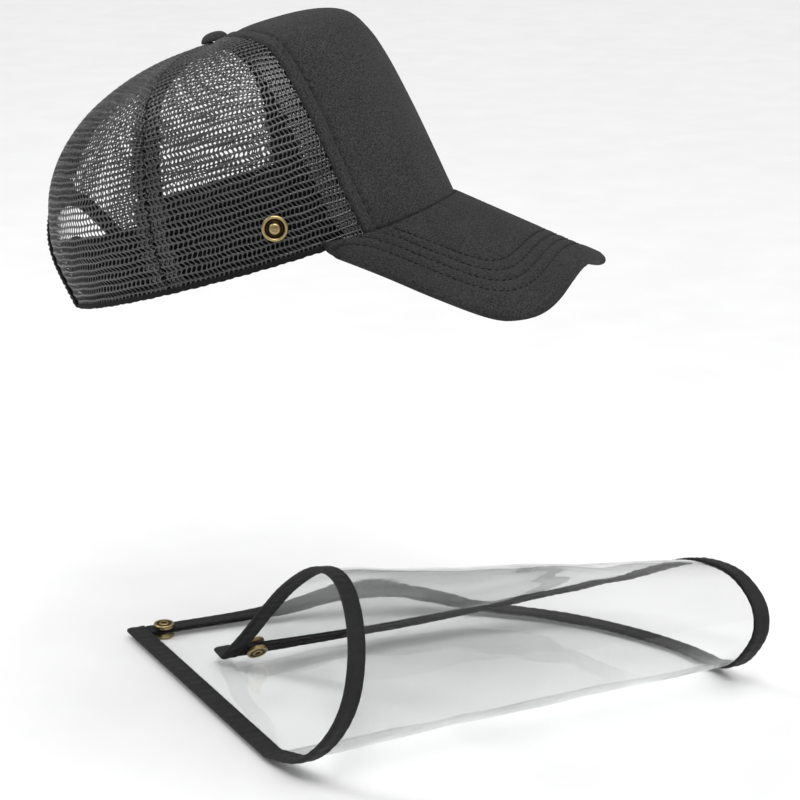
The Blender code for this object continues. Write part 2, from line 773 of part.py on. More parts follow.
def main():
    clear_scene()
    parts = new_collection("mesh_back_cap_with_shield")
    cutters = new_collection("cutters", hidden=True)
    cap = bpy.data.objects.new("cap_frame", None)
    parts.objects.link(cap)
    cap.rotation_euler = (-math.radians(CAP_TILT_DEG), 0.0, 0.0)
    floor = bpy.data.objects.new("shield_frame", None)
    parts.objects.link(floor)

    cloth = material("charcoal_cloth", (0.035, 0.035, 0.037), 0.9)
    visor_cloth = material("charcoal_visor_cloth", (0.032, 0.032, 0.034), 0.9)
    foam = material("dark_foam", (0.05, 0.05, 0.052), 0.95)
    net = material("black_net", (0.012, 0.012, 0.013), 0.4)
    tape = material("black_tape", (0.01, 0.01, 0.011), 0.7)
    terry = material("black_sweatband", (0.012, 0.012, 0.013), 0.9)
    board = material("board_plastic", (0.4, 0.4, 0.38), 0.5)
    plastic = material("black_plastic", (0.012, 0.012, 0.012), 0.3)
    brass = material("old_brass", (0.42, 0.36, 0.2), 0.3, 1.0)
    clear = material("clear_film", (0.85, 0.87, 0.88), 0.08)
    binding = material("black_binding", (0.015, 0.015, 0.017), 0.8)

    build_front(parts, cap, cloth, foam)
    panels = build_mesh_panels(parts, cutters, cap, net)
    build_tapes(parts, cap, tape)
    build_rear_binding(parts, cap, tape)
    sweatband = build_sweatband(parts, cap, terry)
    build_button(parts, cap, cloth, brass)
    build_straps(parts, cutters, cap, plastic)
    build_visor(parts, cap, visor_cloth, board)
    build_studs(parts, cutters, cap, brass, panels, sweatband)

    sheet = build_sheet(parts, floor, clear)
    top, outline = build_bindings(parts, floor, binding)
    build_shield_snaps(parts, cutters, floor, brass, (sheet, top, outline))


main()
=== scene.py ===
"""Looks for the mesh-back cap with its face shield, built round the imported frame.

Lengths are in millimetres. The cap is made in its own frame (front -Y, wearer's right -X, +Z up,
origin at the centre of the head opening) and tilted; the shield lies in the world frame.
"""

import math

import bpy
import numpy as np
from mathutils import Matrix, Vector


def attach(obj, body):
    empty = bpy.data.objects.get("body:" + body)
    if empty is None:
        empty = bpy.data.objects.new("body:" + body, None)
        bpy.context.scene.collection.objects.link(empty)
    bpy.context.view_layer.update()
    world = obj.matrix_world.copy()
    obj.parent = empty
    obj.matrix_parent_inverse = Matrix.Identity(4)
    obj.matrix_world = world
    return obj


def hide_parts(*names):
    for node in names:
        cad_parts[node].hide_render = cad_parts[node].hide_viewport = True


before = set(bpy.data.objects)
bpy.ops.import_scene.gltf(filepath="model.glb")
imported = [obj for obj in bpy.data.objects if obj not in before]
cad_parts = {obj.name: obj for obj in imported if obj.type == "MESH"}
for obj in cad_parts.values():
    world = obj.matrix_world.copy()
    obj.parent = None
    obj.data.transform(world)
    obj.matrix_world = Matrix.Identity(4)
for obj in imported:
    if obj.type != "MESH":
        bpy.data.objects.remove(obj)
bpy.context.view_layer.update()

MM = 0.001
CAP_TILT = math.radians(-18.0)

# ------------------------------------------------------------------ the shapes that the CAD repeats

BUTTON_Y = -10.0
CROWN_FRONT = [
    (92, 0), (87.5, 25), (83, 50), (78, 75), (73.5, 90), (66, 101), (50, 106), (25, 107), (0, 105),
]
CROWN_SIDE = [(81, 0), (84, 28), (83, 50), (78, 71), (66, 88), (46, 98.5), (24, 103.5), (0, 105)]
CROWN_BACK = [(111, 0), (114.5, 25), (112, 42), (104, 61), (89, 78), (66, 92.5), (36, 102), (0, 105)]
FRONT_BLEND, BACK_BLEND = 1.6, 2.0
HEIGHT_PER_T = 170.0
FRONT_SEAM, FRONT_SEAM_TOP = 41.0, 52.0
SIDE_SEAM, SIDE_SEAM_TOP = 102.0, 98.0
CROWN_TOP = 0.975
CLOTH_THICK, FOAM_THICK, TAPE_THICK, BAND_THICK, LAYER_GAP = 1.0, 3.0, 0.8, 1.8, 0.35
FOAM_END, FOAM_END_BLEND = 52.0, 12.0

ARCH_HALF_WIDTH, ARCH_HEIGHT, ARCH_BINDING = 34.0, 48.0, 7.0
STRAP_LOW, STRAP_HEIGHT, STRAP_THICK = 2.0, 18.0, 1.2
STRAP_SEWN_X, STRAP_FREE_X, PEG_PITCH = 41.0, 23.0, 8.0
OUTER_STRAP_DEPTH, INNER_STRAP_DEPTH = 3.2, 4.8

VISOR_OUTLINE = [
    (68.5, 71), (67.5, 90), (67, 110), (65.2, 131),
    (61, 142), (52, 152), (39, 158), (21, 161), (0, 162),
]
VISOR_ROOT_ANGLE, VISOR_SLOPE, VISOR_ARCH = 55.0, 0.76, 0.0062
RIM_FRONT = CROWN_FRONT[0][0] - BUTTON_Y
STUD_ANGLE, STUD_T = 65.5, 0.10

SHIELD_LENGTH, SHIELD_DEPTH, SHIELD_CORNER_POWER = 508.0, 300.0, 2.5
SHEET_THICK, BINDING_WIDTH, BINDING_TAIL = 0.6, 10.0, 13.0
SHIELD_CORNER = np.array([111.0, 140.0, -270.0])
ROLL_AXIS = (0.692, -0.722)
ROLL_START_WIDE, ROLL_START_TIP = 190.0, 183.0
ROLL_WIDE = [
    (190, 16, 0), (222, 22, 10), (240, 30, 28), (246, 38, 50), (238, 45, 74), (216, 51, 91),
    (190, 54, 96), (160, 54, 88), (125, 52, 66), (99, 48, 42), (84, 42, 23), (69, 35, 4.5),
]
ROLL_TIP = [
    (183, 6, 0), (203, 3, 8), (219, 0, 21), (229, 0, 38), (225, 0, 53),
    (205, 0, 62), (180, 0, 61), (155, 0, 53), (110, 0, 28), (65, 0, 5),
]
EDGE_LIFT, EDGE_LIFT_AT, EDGE_LIFT_WIDTH, EDGE_LIFT_SPREAD = 38.0, 172.0, 68.0, 55.0
SHIELD_SNAP_IN, SHIELD_SNAP_DOWN, SNAP_STAND = 7.0, 19.0, 2.4
FILM_INSET, RIBBON_STITCH_IN, RIBBON_FACE = 0.9, 1.7, 1.56


def run_lengths(line):
    """Distance along a line from its first point to each of its points."""
    return np.r_[0, np.cumsum(np.linalg.norm(np.diff(line, axis=0), axis=1))]


def full_turn(count):
    return np.linspace(0, 2 * math.pi, count, endpoint=False)


def points_along(line, wanted):
    """A line's columns at the wanted distances along its first three columns."""
    along = run_lengths(line[:, :3])
    return np.stack([np.interp(wanted, along, column) for column in line.T], axis=1)


def smooth_line(points, count):
    """Evenly spaced points on a smooth curve through the given ones."""
    points = np.array(points, float)
    ends = np.vstack([2 * points[0] - points[1], points, 2 * points[-1] - points[-2]])
    fine = []
    for i in range(1, len(ends) - 2):
        a, b, c, d = ends[i - 1 : i + 3]
        for t in np.linspace(0, 1, 30, endpoint=False):
            bend = (2 * a - 5 * b + 4 * c - d) * t**2 + (3 * b - a - 3 * c + d) * t**3
            fine.append(0.5 * (2 * b + (c - a) * t + bend))
    fine.append(points[-1])
    fine = np.array(fine)
    return points_along(fine, np.linspace(0, run_lengths(fine)[-1], count))


def ease(value):
    value = np.clip(value, 0.0, 1.0)
    return value * value * (3 - 2 * value)


def unit(vectors):
    return vectors / np.maximum(np.linalg.norm(vectors, axis=-1, keepdims=True), 1e-12)


PROFILE_STEPS = 61
FRONT_LINE = smooth_line(CROWN_FRONT, PROFILE_STEPS)
SIDE_LINE = smooth_line(CROWN_SIDE, PROFILE_STEPS)
BACK_LINE = smooth_line(CROWN_BACK, PROFILE_STEPS)


def on_line(line, t):
    """Distance out and height on one of the crown's profile lines."""
    place = t * (PROFILE_STEPS - 1)
    steps = np.arange(PROFILE_STEPS)
    return np.interp(place, steps, line[:, 0]), np.interp(place, steps, line[:, 1])


def crown_skin(angle, t):
    """The crown's outer surface, for arrays: angle in degrees from the front, t from rim to button."""
    turn = np.radians(angle)
    lengthwise = np.cos(turn)
    side, side_z = on_line(SIDE_LINE, t)
    front, front_z = on_line(FRONT_LINE, t)
    back, back_z = on_line(BACK_LINE, t)
    ahead = lengthwise > 0
    reach = np.where(ahead, front, back)
    reach_z = np.where(ahead, front_z, back_z)
    share = np.abs(lengthwise) ** np.where(ahead, FRONT_BLEND, BACK_BLEND)
    z = share * reach_z + (1 - share) * side_z
    return np.stack([-np.sin(turn) * side, BUTTON_Y - lengthwise * reach, z], axis=-1)


def crown_normal(angle, t):
    round_way = crown_skin(angle + 0.5, t) - crown_skin(angle - 0.5, t)
    up_way = crown_skin(angle, np.minimum(t + 0.01, 1.0)) - crown_skin(angle, np.maximum(t - 0.01, 0.0))
    return unit(np.cross(up_way, round_way))


def crown(angle, t, inward=0.0):
    """Points of the crown at a depth inside its outer surface."""
    angle, t, inward = np.broadcast_arrays(angle, t, inward)
    return crown_skin(angle, t) - inward[..., None] * crown_normal(angle, t)


def radius_at(angle, t):
    """Level distance in mm from the button's axis."""
    skin = crown_skin(angle, t)
    return np.maximum(np.hypot(skin[..., 0], skin[..., 1] - BUTTON_Y), 1.0)


def front_seam(t):
    """Angle at t of the seam between the front and the side net."""
    return FRONT_SEAM + (FRONT_SEAM_TOP - FRONT_SEAM) * ease((t - 0.3) / 0.6)


def side_seam(t):
    """Angle at t of the seam between the side net and the back net."""
    return SIDE_SEAM + (SIDE_SEAM_TOP - SIDE_SEAM) * ease(t / 0.5)


def back_seam(t):
    """Angle at t of the seam down the middle of the back."""
    return 180.0 + 0.0 * t


def shifted(seam, sideways):
    """A seam moved round the crown by a distance in millimetres."""
    return lambda t: seam(t) + np.degrees(sideways / radius_at(seam(t), t))


def back_surface(x, z):
    """Angle and t of the crown at the back, at a given sideways place and height."""
    x, z = np.broadcast_arrays(np.asarray(x, float), np.asarray(z, float))
    angle, t = 180.0 + 0.0 * x, z / HEIGHT_PER_T
    for _ in range(40):
        side = on_line(SIDE_LINE, t)[0]
        angle = 180.0 + np.degrees(np.arcsin(np.clip(x / side, -1.0, 1.0)))
        t = np.maximum(t + (z - crown_skin(angle, t)[..., 2]) / HEIGHT_PER_T, 0.0)
    return angle, t


def band_depth(angle):
    """How far inside the crown's skin the sweatband lies: behind the foam in front, closer elsewhere."""
    over_foam = CLOTH_THICK + 2 * LAYER_GAP + FOAM_THICK
    over_tape = CLOTH_THICK + 2 * LAYER_GAP + TAPE_THICK
    return over_tape + (over_foam - over_tape) * ease((FOAM_END - np.abs(angle)) / FOAM_END_BLEND)


def in_world(points, body):
    """Points in the world: all but the shield is made in the cap's own frame."""
    return points if body == "shield" else tilted(points)


def tilted(points):
    """Points of the cap's own frame in the world."""
    c, s = math.cos(CAP_TILT), math.sin(CAP_TILT)
    x, y, z = points[..., 0], points[..., 1], points[..., 2]
    return np.stack([x, y * c - z * s, y * s + z * c], axis=-1)


# ------------------------------------------------------------------ making meshes

ON_AXIS = 1e-6
STITCH_SIDES, STITCH_RINGS = 6, 5
THREAD_RISE, THREAD_TIP = 0.9, 0.35


def add_mesh(name, points, faces, mat, body, weave=None, place=None):
    """A smooth mesh from points in mm. weave gives each point a pair of surface coordinates in mm."""
    mesh = bpy.data.meshes.new(name)
    mesh.from_pydata((np.asarray(points) * MM).tolist(), [], [list(map(int, f)) for f in faces])
    mesh.polygons.foreach_set("use_smooth", [True] * len(mesh.polygons))
    if weave is not None:
        layer = mesh.uv_layers.new(name="weave")
        corner = np.empty(len(mesh.loops), np.int32)
        mesh.loops.foreach_get("vertex_index", corner)
        layer.data.foreach_set("uv", (np.asarray(weave)[corner] * MM).astype(np.float32).ravel())
    mesh.materials.append(mat)
    made = bpy.data.objects.new(name, mesh)
    if place is not None:
        made.matrix_world = place
    bpy.context.scene.collection.objects.link(made)
    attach(made, body)
    return made


def grid_faces(rows, columns, start=0):
    """Quads of a grid of points numbered row by row."""
    i, j = np.meshgrid(np.arange(rows - 1), np.arange(columns - 1), indexing="ij")
    a = (start + i * columns + j).ravel()
    return np.stack([a, a + 1, a + columns + 1, a + columns], axis=1)


def rim_of(rows, columns):
    """Numbers of the points round the border of a grid."""
    rim = list(range(columns))
    rim += [i * columns + columns - 1 for i in range(1, rows)]
    rim += [(rows - 1) * columns + j for j in range(columns - 2, -1, -1)]
    rim += [i * columns for i in range(rows - 2, 0, -1)]
    return rim


def facing_out(points, faces):
    """The faces turned so that the closed body holds a positive volume."""
    faces = np.asarray(faces)
    a, b, c, d = (points[faces[:, k]] for k in range(4))
    volume = np.einsum("ij,ij->i", a, np.cross(b, c)) + np.einsum("ij,ij->i", a, np.cross(c, d))
    return faces[:, ::-1] if volume.sum() < 0 else faces


def surface_lengths(grid):
    """Distances in mm along the rows and the columns of a grid of points, as surface coordinates."""
    across = np.linalg.norm(np.diff(grid, axis=1), axis=2)
    down = np.linalg.norm(np.diff(grid, axis=0), axis=2)
    u = np.concatenate([np.zeros((len(grid), 1)), np.cumsum(across, axis=1)], axis=1)
    v = np.concatenate([np.zeros((1, grid.shape[1])), np.cumsum(down, axis=0)], axis=0)
    middle = u.shape[1] // 2
    return np.stack([u - u[:, middle : middle + 1], v], axis=-1)


def shell(name, outer, inner, mat, body):
    """A closed layer between two grids of points (rows x columns x 3)."""
    rows, columns = outer.shape[:2]
    half = rows * columns
    points = in_world(np.concatenate([outer.reshape(-1, 3), inner.reshape(-1, 3)]), body)
    weave = surface_lengths(outer).reshape(-1, 2)
    top = grid_faces(rows, columns)
    bottom = grid_faces(rows, columns, half)[:, ::-1]
    rim = np.array(rim_of(rows, columns))
    ahead = np.roll(rim, -1)
    sides = np.stack([ahead, rim, half + rim, half + ahead], axis=1)
    faces = facing_out(points, np.concatenate([top, bottom, sides]))
    return add_mesh(name, points, faces, mat, body, np.concatenate([weave, weave]))


def tube_faces(count, sides):
    """Quads between count sections of so many points each; the two ends stay open."""
    faces = []
    for i in range(count - 1):
        for j in range(sides):
            k = (j + 1) % sides
            faces.append([i * sides + j, i * sides + k, (i + 1) * sides + k, (i + 1) * sides + j])
    return faces


def loft(name, sections, mat, body):
    """A closed body through sections (count x sides x 3), each end closed by a ladder of quads."""
    count, sides = sections.shape[:2]
    points = in_world(sections.reshape(-1, 3), body)
    middle = sections[count // 2]
    round_way = np.linalg.norm(np.diff(middle, axis=0, append=middle[:1]), axis=1)
    u = run_lengths(sections.mean(axis=1))
    v = np.r_[0, np.cumsum(round_way)[:-1]]
    weave = np.stack([np.repeat(u, sides), np.tile(v, count)], axis=1)
    faces = tube_faces(count, sides)
    for first, turn in ((0, 1), ((count - 1) * sides, -1)):
        for k in range(sides // 2 - 1):
            face = [first + k, first + k + 1, first + sides - 2 - k, first + sides - 1 - k]
            faces.append(face[::-turn])
    return add_mesh(name, points, facing_out(points, faces), mat, body, weave)


def lathe(name, profile, steps, mat, body, place):
    """A turned body from (radius, height) points in mm; a point of no radius lies on the axis."""
    turn = full_turn(steps)
    ring = np.stack([np.cos(turn), np.sin(turn)], axis=1)
    on_axis = [radius < ON_AXIS for radius, _ in profile]
    points, faces, starts = [], [], []
    for (radius, height), single in zip(profile, on_axis):
        starts.append(len(points))
        points += [(0.0, 0.0, height)] if single else [(radius * c, radius * s, height) for c, s in ring]
    for i in range(len(profile) - 1):
        a, b = starts[i], starts[i + 1]
        for j in range(steps):
            k = (j + 1) % steps
            if on_axis[i]:
                faces.append([a, b + j, b + k])
            elif on_axis[i + 1]:
                faces.append([a + j, b, a + k])
            else:
                faces.append([a + j, b + j, b + k, a + k])
    return add_mesh(name, points, faces, mat, body, place=place)


def turned_brass(name, node, profile, steps, body, place):
    """A turned piece of a snap or rivet, in place of a node of the frame."""
    made = lathe(name, profile, steps, BRASS, body, place)
    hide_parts(node)


def arc(middle_r, middle_z, radius, start, end, steps=8):
    """Points of a turned profile on an arc, angles in degrees from outward (0) to up (90)."""
    turns = np.radians(np.linspace(start, end, steps))
    return [(middle_r + radius * math.cos(a), middle_z + radius * math.sin(a)) for a in turns]


def pointing(position, direction):
    """A matrix with its origin at a point in mm and its Z along the direction."""
    z = Vector(direction).normalized()
    x = Vector((0, 0, 1)).cross(z)
    x = Vector((1, 0, 0)) if x.length < 1e-6 else x.normalized()
    matrix = Matrix((x, z.cross(x), z)).transposed().to_4x4()
    matrix.translation = Vector(position) * MM
    return matrix


def cap_place(angle, t):
    """Where a snap sits on the crown, in the world."""
    at = crown_skin(np.array(float(angle)), np.array(float(t)))
    out = crown_normal(np.array(float(angle)), np.array(float(t)))
    return pointing(tilted(at), tilted(out))


def stitches(name, paths, pitch, share, thread, body="cap"):
    """Rows of sewn stitches: each path is an array of points and outward normals (count x 6)."""
    points, faces = [], []
    per = STITCH_RINGS + 1
    for path in paths:
        fine = points_along(path, np.arange(0, run_lengths(path[:, :3])[-1], pitch / per))
        for first in range(0, len(fine) - per, per):
            part = fine[first : first + per]
            middle = part[:, :3].mean(axis=0)
            way = part[-1, :3] - part[0, :3]
            length = np.linalg.norm(way)
            if length < 1e-6:
                continue
            way = way / length
            out = unit(part[:, 3:6].mean(axis=0))
            side = np.cross(way, out)
            base = len(points)
            for s in np.linspace(-0.5, 0.5, STITCH_RINGS):
                swell = 1 - (2 * s) ** 2
                radius = thread * (THREAD_TIP + (1 - THREAD_TIP) * math.sqrt(max(swell, 0.0)))
                centre = middle + way * s * pitch * share + out * (swell * thread * THREAD_RISE)
                for k in range(STITCH_SIDES):
                    turn = 2 * math.pi * k / STITCH_SIDES
                    points.append(centre + radius * (math.cos(turn) * side + math.sin(turn) * out))
            faces += [[base + i for i in face] for face in tube_faces(STITCH_RINGS, STITCH_SIDES)]
            for start, flip in ((base, 1), (base + (STITCH_RINGS - 1) * STITCH_SIDES, -1)):
                faces.append([start, start + 1, start + 4, start + 5][::-flip])
                faces.append([start + 1, start + 2, start + 3, start + 4][::-flip])
    points = in_world(np.array(points), body)
    return add_mesh(name, points, facing_out(points, faces), THREAD, body)


# ------------------------------------------------------------------ materials


def new_material(name, colour, roughness, metallic=0.0):
    """A plain material, with its node tree and its shader for what is added to it."""
    made = bpy.data.materials.new(name)
    made.use_nodes = True
    shader = made.node_tree.nodes["Principled BSDF"]
    shader.inputs["Base Color"].default_value = (*colour, 1.0)
    shader.inputs["Roughness"].default_value = roughness
    shader.inputs["Metallic"].default_value = metallic
    return made, made.node_tree, shader


def object_coordinates(tree):
    return tree.nodes.new("ShaderNodeTexCoord").outputs["Object"]


def weave_coordinates(tree):
    node = tree.nodes.new("ShaderNodeUVMap")
    node.uv_map = "weave"
    return node.outputs["UV"]


def noise(tree, vector, size_mm, detail=2.0, rough=0.5):
    node = tree.nodes.new("ShaderNodeTexNoise")
    node.inputs["Scale"].default_value = 1.0 / (size_mm * MM)
    node.inputs["Detail"].default_value = detail
    node.inputs["Roughness"].default_value = rough
    tree.links.new(vector, node.inputs["Vector"])
    return node.outputs["Fac"]


def math_node(tree, operation, *values):
    node = tree.nodes.new("ShaderNodeMath")
    node.operation = operation
    for socket, value in zip(node.inputs, values):
        if isinstance(value, (int, float)):
            socket.default_value = value
        else:
            tree.links.new(value, socket)
    return node.outputs["Value"]


def ribs(tree, vector, pitch_mm, along=(1.0, 0.0, 0.0)):
    """A wave from 0 to 1 across parallel ribs, along a direction of the coordinates."""
    dot = tree.nodes.new("ShaderNodeVectorMath")
    dot.operation = "DOT_PRODUCT"
    tree.links.new(vector, dot.inputs[0])
    dot.inputs[1].default_value = along
    phase = math_node(tree, "MULTIPLY", dot.outputs["Value"], 2 * math.pi / (pitch_mm * MM))
    wave = math_node(tree, "SINE", phase)
    return math_node(tree, "MULTIPLY_ADD", wave, 0.5, 0.5)


def map_range(tree, value, low, high, to_low=0.0, to_high=1.0):
    node = tree.nodes.new("ShaderNodeMapRange")
    tree.links.new(value, node.inputs["Value"])
    for socket, number in zip(("From Min", "From Max", "To Min", "To Max"), (low, high, to_low, to_high)):
        node.inputs[socket].default_value = number
    return node.outputs["Result"]


def mix_colour(tree, share, first, second):
    node = tree.nodes.new("ShaderNodeMix")
    node.data_type = "RGBA"
    tree.links.new(share, node.inputs["Factor"])
    for socket, value in ((node.inputs[6], first), (node.inputs[7], second)):
        if isinstance(value, tuple):
            socket.default_value = (*value, 1.0)
        else:
            tree.links.new(value, socket)
    return node.outputs[2]


def vary_colour(tree, shader, share, dark, light):
    tree.links.new(mix_colour(tree, share, dark, light), shader.inputs["Base Color"])


def vary_roughness(tree, shader, value, low, high, smooth, rough):
    """Roughness from smooth to rough as a value goes from low to high."""
    tree.links.new(map_range(tree, value, low, high, smooth, rough), shader.inputs["Roughness"])


def add_bump(tree, shader, height, depth_mm, strength=1.0):
    node = tree.nodes.new("ShaderNodeBump")
    node.inputs["Strength"].default_value = strength
    node.inputs["Distance"].default_value = depth_mm * MM
    tree.links.new(height, node.inputs["Height"])
    tree.links.new(node.outputs["Normal"], shader.inputs["Normal"])


def summed(tree, *pairs):
    """A sum of sockets, each with its weight."""
    total = None
    for socket, weight in pairs:
        part = math_node(tree, "MULTIPLY", socket, weight)
        total = part if total is None else math_node(tree, "ADD", total, part)
    return total


def cloth_material(name, dark, light):
    """Brushed knit over foam: a heathered nap of light and dark fibres over faint knit ribs."""
    made, tree, shader = new_material(name, light, 0.92)
    place = object_coordinates(tree)
    weave = weave_coordinates(tree)
    speckle = noise(tree, place, 0.8, 3.0, 0.8)
    cloudy = noise(tree, place, 22.0, 2.0)
    knit = ribs(tree, weave, 0.9)
    courses = ribs(tree, weave, 0.7, (0.0, 1.0, 0.0))
    tone = summed(tree, (speckle, 0.92), (cloudy, 0.08), (knit, 0.03), (courses, 0.03))
    share = map_range(tree, tone, 0.40, 0.68)
    vary_colour(tree, shader, share, dark, light)
    vary_roughness(tree, shader, speckle, 0.3, 0.7, 0.84, 0.98)
    shader.inputs["Sheen Weight"].default_value = 0.04
    shader.inputs["Sheen Roughness"].default_value = 0.5
    shader.inputs["Specular IOR Level"].default_value = 0.12
    height = summed(tree, (speckle, 0.7), (knit, 0.15), (courses, 0.15))
    add_bump(tree, shader, height, 0.5)
    return made


def woven_material(name, dark, light, pitch, slant=(1.0, 0.0, 0.0), roughness=0.75, depth=0.18):
    """Tape, ribbon or twill: ribs across the weave with a finer thread the other way."""
    made, tree, shader = new_material(name, light, roughness)
    place = object_coordinates(tree)
    weave = weave_coordinates(tree)
    rib = ribs(tree, weave, pitch, slant)
    thread = ribs(tree, weave, pitch * 0.55, (slant[1], -slant[0], 0.0))
    fluff = noise(tree, place, 0.7, 3.0, 0.7)
    worn = noise(tree, place, 14.0, 2.0)
    tone = summed(tree, (rib, 0.2), (fluff, 0.5), (worn, 0.3))
    share = map_range(tree, tone, 0.3, 0.72)
    vary_colour(tree, shader, share, dark, light)
    vary_roughness(tree, shader, fluff, 0.3, 0.7, roughness - 0.08, roughness + 0.1)
    shader.inputs["Sheen Weight"].default_value = 0.03
    shader.inputs["Specular IOR Level"].default_value = 0.15
    add_bump(tree, shader, summed(tree, (rib, 0.6), (thread, 0.2), (fluff, 0.3)), depth)
    return made


def net_material():
    """Glossy knitted polyester: each strand shows its filaments and small changes of gloss."""
    made, tree, shader = new_material("net_black", (0.006, 0.006, 0.0062), 0.3)
    place = object_coordinates(tree)
    filament = noise(tree, place, 0.35, 2.0, 0.6)
    patch = noise(tree, place, 9.0, 2.0)
    share = map_range(tree, patch, 0.35, 0.65)
    vary_colour(tree, shader, share, (0.003, 0.003, 0.0032), (0.009, 0.009, 0.0095))
    gloss = summed(tree, (filament, 0.5), (patch, 0.5))
    vary_roughness(tree, shader, gloss, 0.35, 0.65, 0.18, 0.4)
    shader.inputs["Specular IOR Level"].default_value = 1.0
    add_bump(tree, shader, filament, 0.12)
    return made


def foam_material():
    made, tree, shader = new_material("foam_dark", (0.04, 0.04, 0.042), 0.95)
    place = object_coordinates(tree)
    pores = tree.nodes.new("ShaderNodeTexVoronoi")
    pores.inputs["Scale"].default_value = 1.0 / (0.9 * MM)
    tree.links.new(place, pores.inputs["Vector"])
    # Painted shade in the pores: the colour darkens towards each sunk pore centre, following the bump; the
    # slow cloudy tone is the foam's own
    cell = map_range(tree, pores.outputs["Distance"], 0.0, 0.6)
    cloudy = noise(tree, place, 12.0)
    share = map_range(tree, summed(tree, (cell, 0.7), (cloudy, 0.3)), 0.2, 0.9)
    vary_colour(tree, shader, share, (0.008, 0.008, 0.0085), (0.028, 0.028, 0.029))
    vary_roughness(tree, shader, cloudy, 0.3, 0.7, 0.88, 1.0)
    add_bump(tree, shader, cell, 0.3)
    return made


def plastic_material(name, colour, roughness):
    """Moulded plastic with a light grain and rubbed patches."""
    made, tree, shader = new_material(name, colour, roughness)
    place = object_coordinates(tree)
    grain = noise(tree, place, 0.5, 2.0)
    rubbed = noise(tree, place, 11.0, 3.0)
    lighter = tuple(min(c * 1.7 + 0.004, 1.0) for c in colour)
    share = map_range(tree, rubbed, 0.4, 0.75)
    vary_colour(tree, shader, share, colour, lighter)
    level = summed(tree, (grain, 0.4), (rubbed, 0.6))
    vary_roughness(tree, shader, level, 0.35, 0.65, roughness - 0.06, roughness + 0.14)
    add_bump(tree, shader, grain, 0.05)
    return made


def brass_material():
    """Antique brass: bright where it is rubbed, brown in the hollows and in scattered spots."""
    made, tree, shader = new_material("brass_antique", (0.5, 0.38, 0.15), 0.3, 1.0)
    place = object_coordinates(tree)
    patina = noise(tree, place, 1.6, 4.0, 0.65)
    scratch = noise(tree, place, 0.25, 2.0, 0.7)
    geometry = tree.nodes.new("ShaderNodeNewGeometry")
    raised = map_range(tree, geometry.outputs["Pointiness"], 0.46, 0.53)
    tone = summed(tree, (raised, 0.65), (patina, 0.35))
    share = map_range(tree, tone, 0.25, 0.75)
    vary_colour(tree, shader, share, (0.03, 0.02, 0.01), (0.40, 0.31, 0.15))
    vary_roughness(tree, shader, patina, 0.3, 0.7, 0.22, 0.42)
    add_bump(tree, shader, scratch, 0.02)
    return made


def film_material():
    """Clear soft PVC: it bends light a little, mirrors the lamps and lets them through to the floor."""
    made, tree, shader = new_material("film_clear", (0.86, 0.865, 0.862), 0.03)
    place = object_coordinates(tree)
    ripple = noise(tree, place, 26.0, 2.0)
    shader.inputs["Transmission Weight"].default_value = 1.0
    shader.inputs["IOR"].default_value = 1.36
    vary_roughness(tree, shader, ripple, 0.3, 0.7, 0.0, 0.03)
    add_bump(tree, shader, ripple, 0.4, 0.5)
    rays = tree.nodes.new("ShaderNodeLightPath")
    through = tree.nodes.new("ShaderNodeBsdfTransparent")
    through.inputs["Color"].default_value = (0.9, 0.905, 0.905, 1.0)
    mix = tree.nodes.new("ShaderNodeMixShader")
    tree.links.new(rays.outputs["Is Shadow Ray"], mix.inputs["Fac"])
    tree.links.new(shader.outputs["BSDF"], mix.inputs[1])
    tree.links.new(through.outputs["BSDF"], mix.inputs[2])
    tree.links.new(mix.outputs["Shader"], tree.nodes["Material Output"].inputs["Surface"])
    return made


DIAGONAL = (0.7, 0.7, 0.0)
CLOTH = cloth_material("cloth_charcoal", (0.010, 0.010, 0.0102), (0.058, 0.058, 0.0585))
# The visor's cloth is the crown's charcoal cloth copied with darker colours: painted shade on the visor
VISOR_CLOTH_SHADED = cloth_material("cloth_visor_shaded", (0.008, 0.008, 0.0082), (0.050, 0.050, 0.0505))
NET = net_material()
TAPE = woven_material("tape_black", (0.003, 0.003, 0.0032), (0.010, 0.010, 0.0105), 0.8)
TWILL = woven_material(
    "twill_black", (0.0025, 0.0025, 0.0027), (0.008, 0.008, 0.0085), 1.0, slant=DIAGONAL, roughness=0.85
)
RIBBON = woven_material("ribbon_black", (0.010, 0.010, 0.0102), (0.026, 0.026, 0.0265), 0.9, roughness=0.7)
THREAD = woven_material(
    "thread_black", (0.006, 0.006, 0.0062), (0.018, 0.018, 0.0185), 0.3, DIAGONAL, roughness=0.6, depth=0.05
)
FOAM = foam_material()
STRAP_PLASTIC = plastic_material("plastic_strap", (0.005, 0.005, 0.0052), 0.22)
BOARD_PLASTIC = plastic_material("plastic_board", (0.36, 0.36, 0.34), 0.5)
BRASS = brass_material()
FILM = film_material()


# ------------------------------------------------------------------ crown: front panel and foam

STITCH_GROOVE, STITCH_PITCH = 7.0, 5.0
FOAM_DEPTH = CLOTH_THICK + 0.3
FOAM_INSET, FOAM_TOP = 5.5, 0.88
FRONT_HEIGHT = 165.0


def front_grid(row_count, inset):
    """Grid of the front panel: rows up the crown, columns from one front seam to the other."""
    rows = np.linspace(0.0, CROWN_TOP, row_count)
    near = np.r_[np.linspace(0, 12, 25), np.linspace(14, 22, 4)]
    angles, from_seam = [], []
    for t in rows:
        seam = float(front_seam(t))
        radius = float(radius_at(np.array(seam), np.array(t)))
        reach = math.radians(seam) * radius
        scale = min(1.0, reach * 0.7 / near[-1])
        right = np.r_[reach - near * scale, np.linspace(reach - near[-1] * scale, 0, 24)[1:]]
        across = np.r_[right, -right[-2::-1]]
        angles.append(np.degrees(across / radius) * (1 - inset / reach))
        from_seam.append(reach - np.abs(across))
    angles = np.array(angles)
    t = np.repeat(rows[:, None], angles.shape[1], axis=1)
    return angles, t, np.array(from_seam)


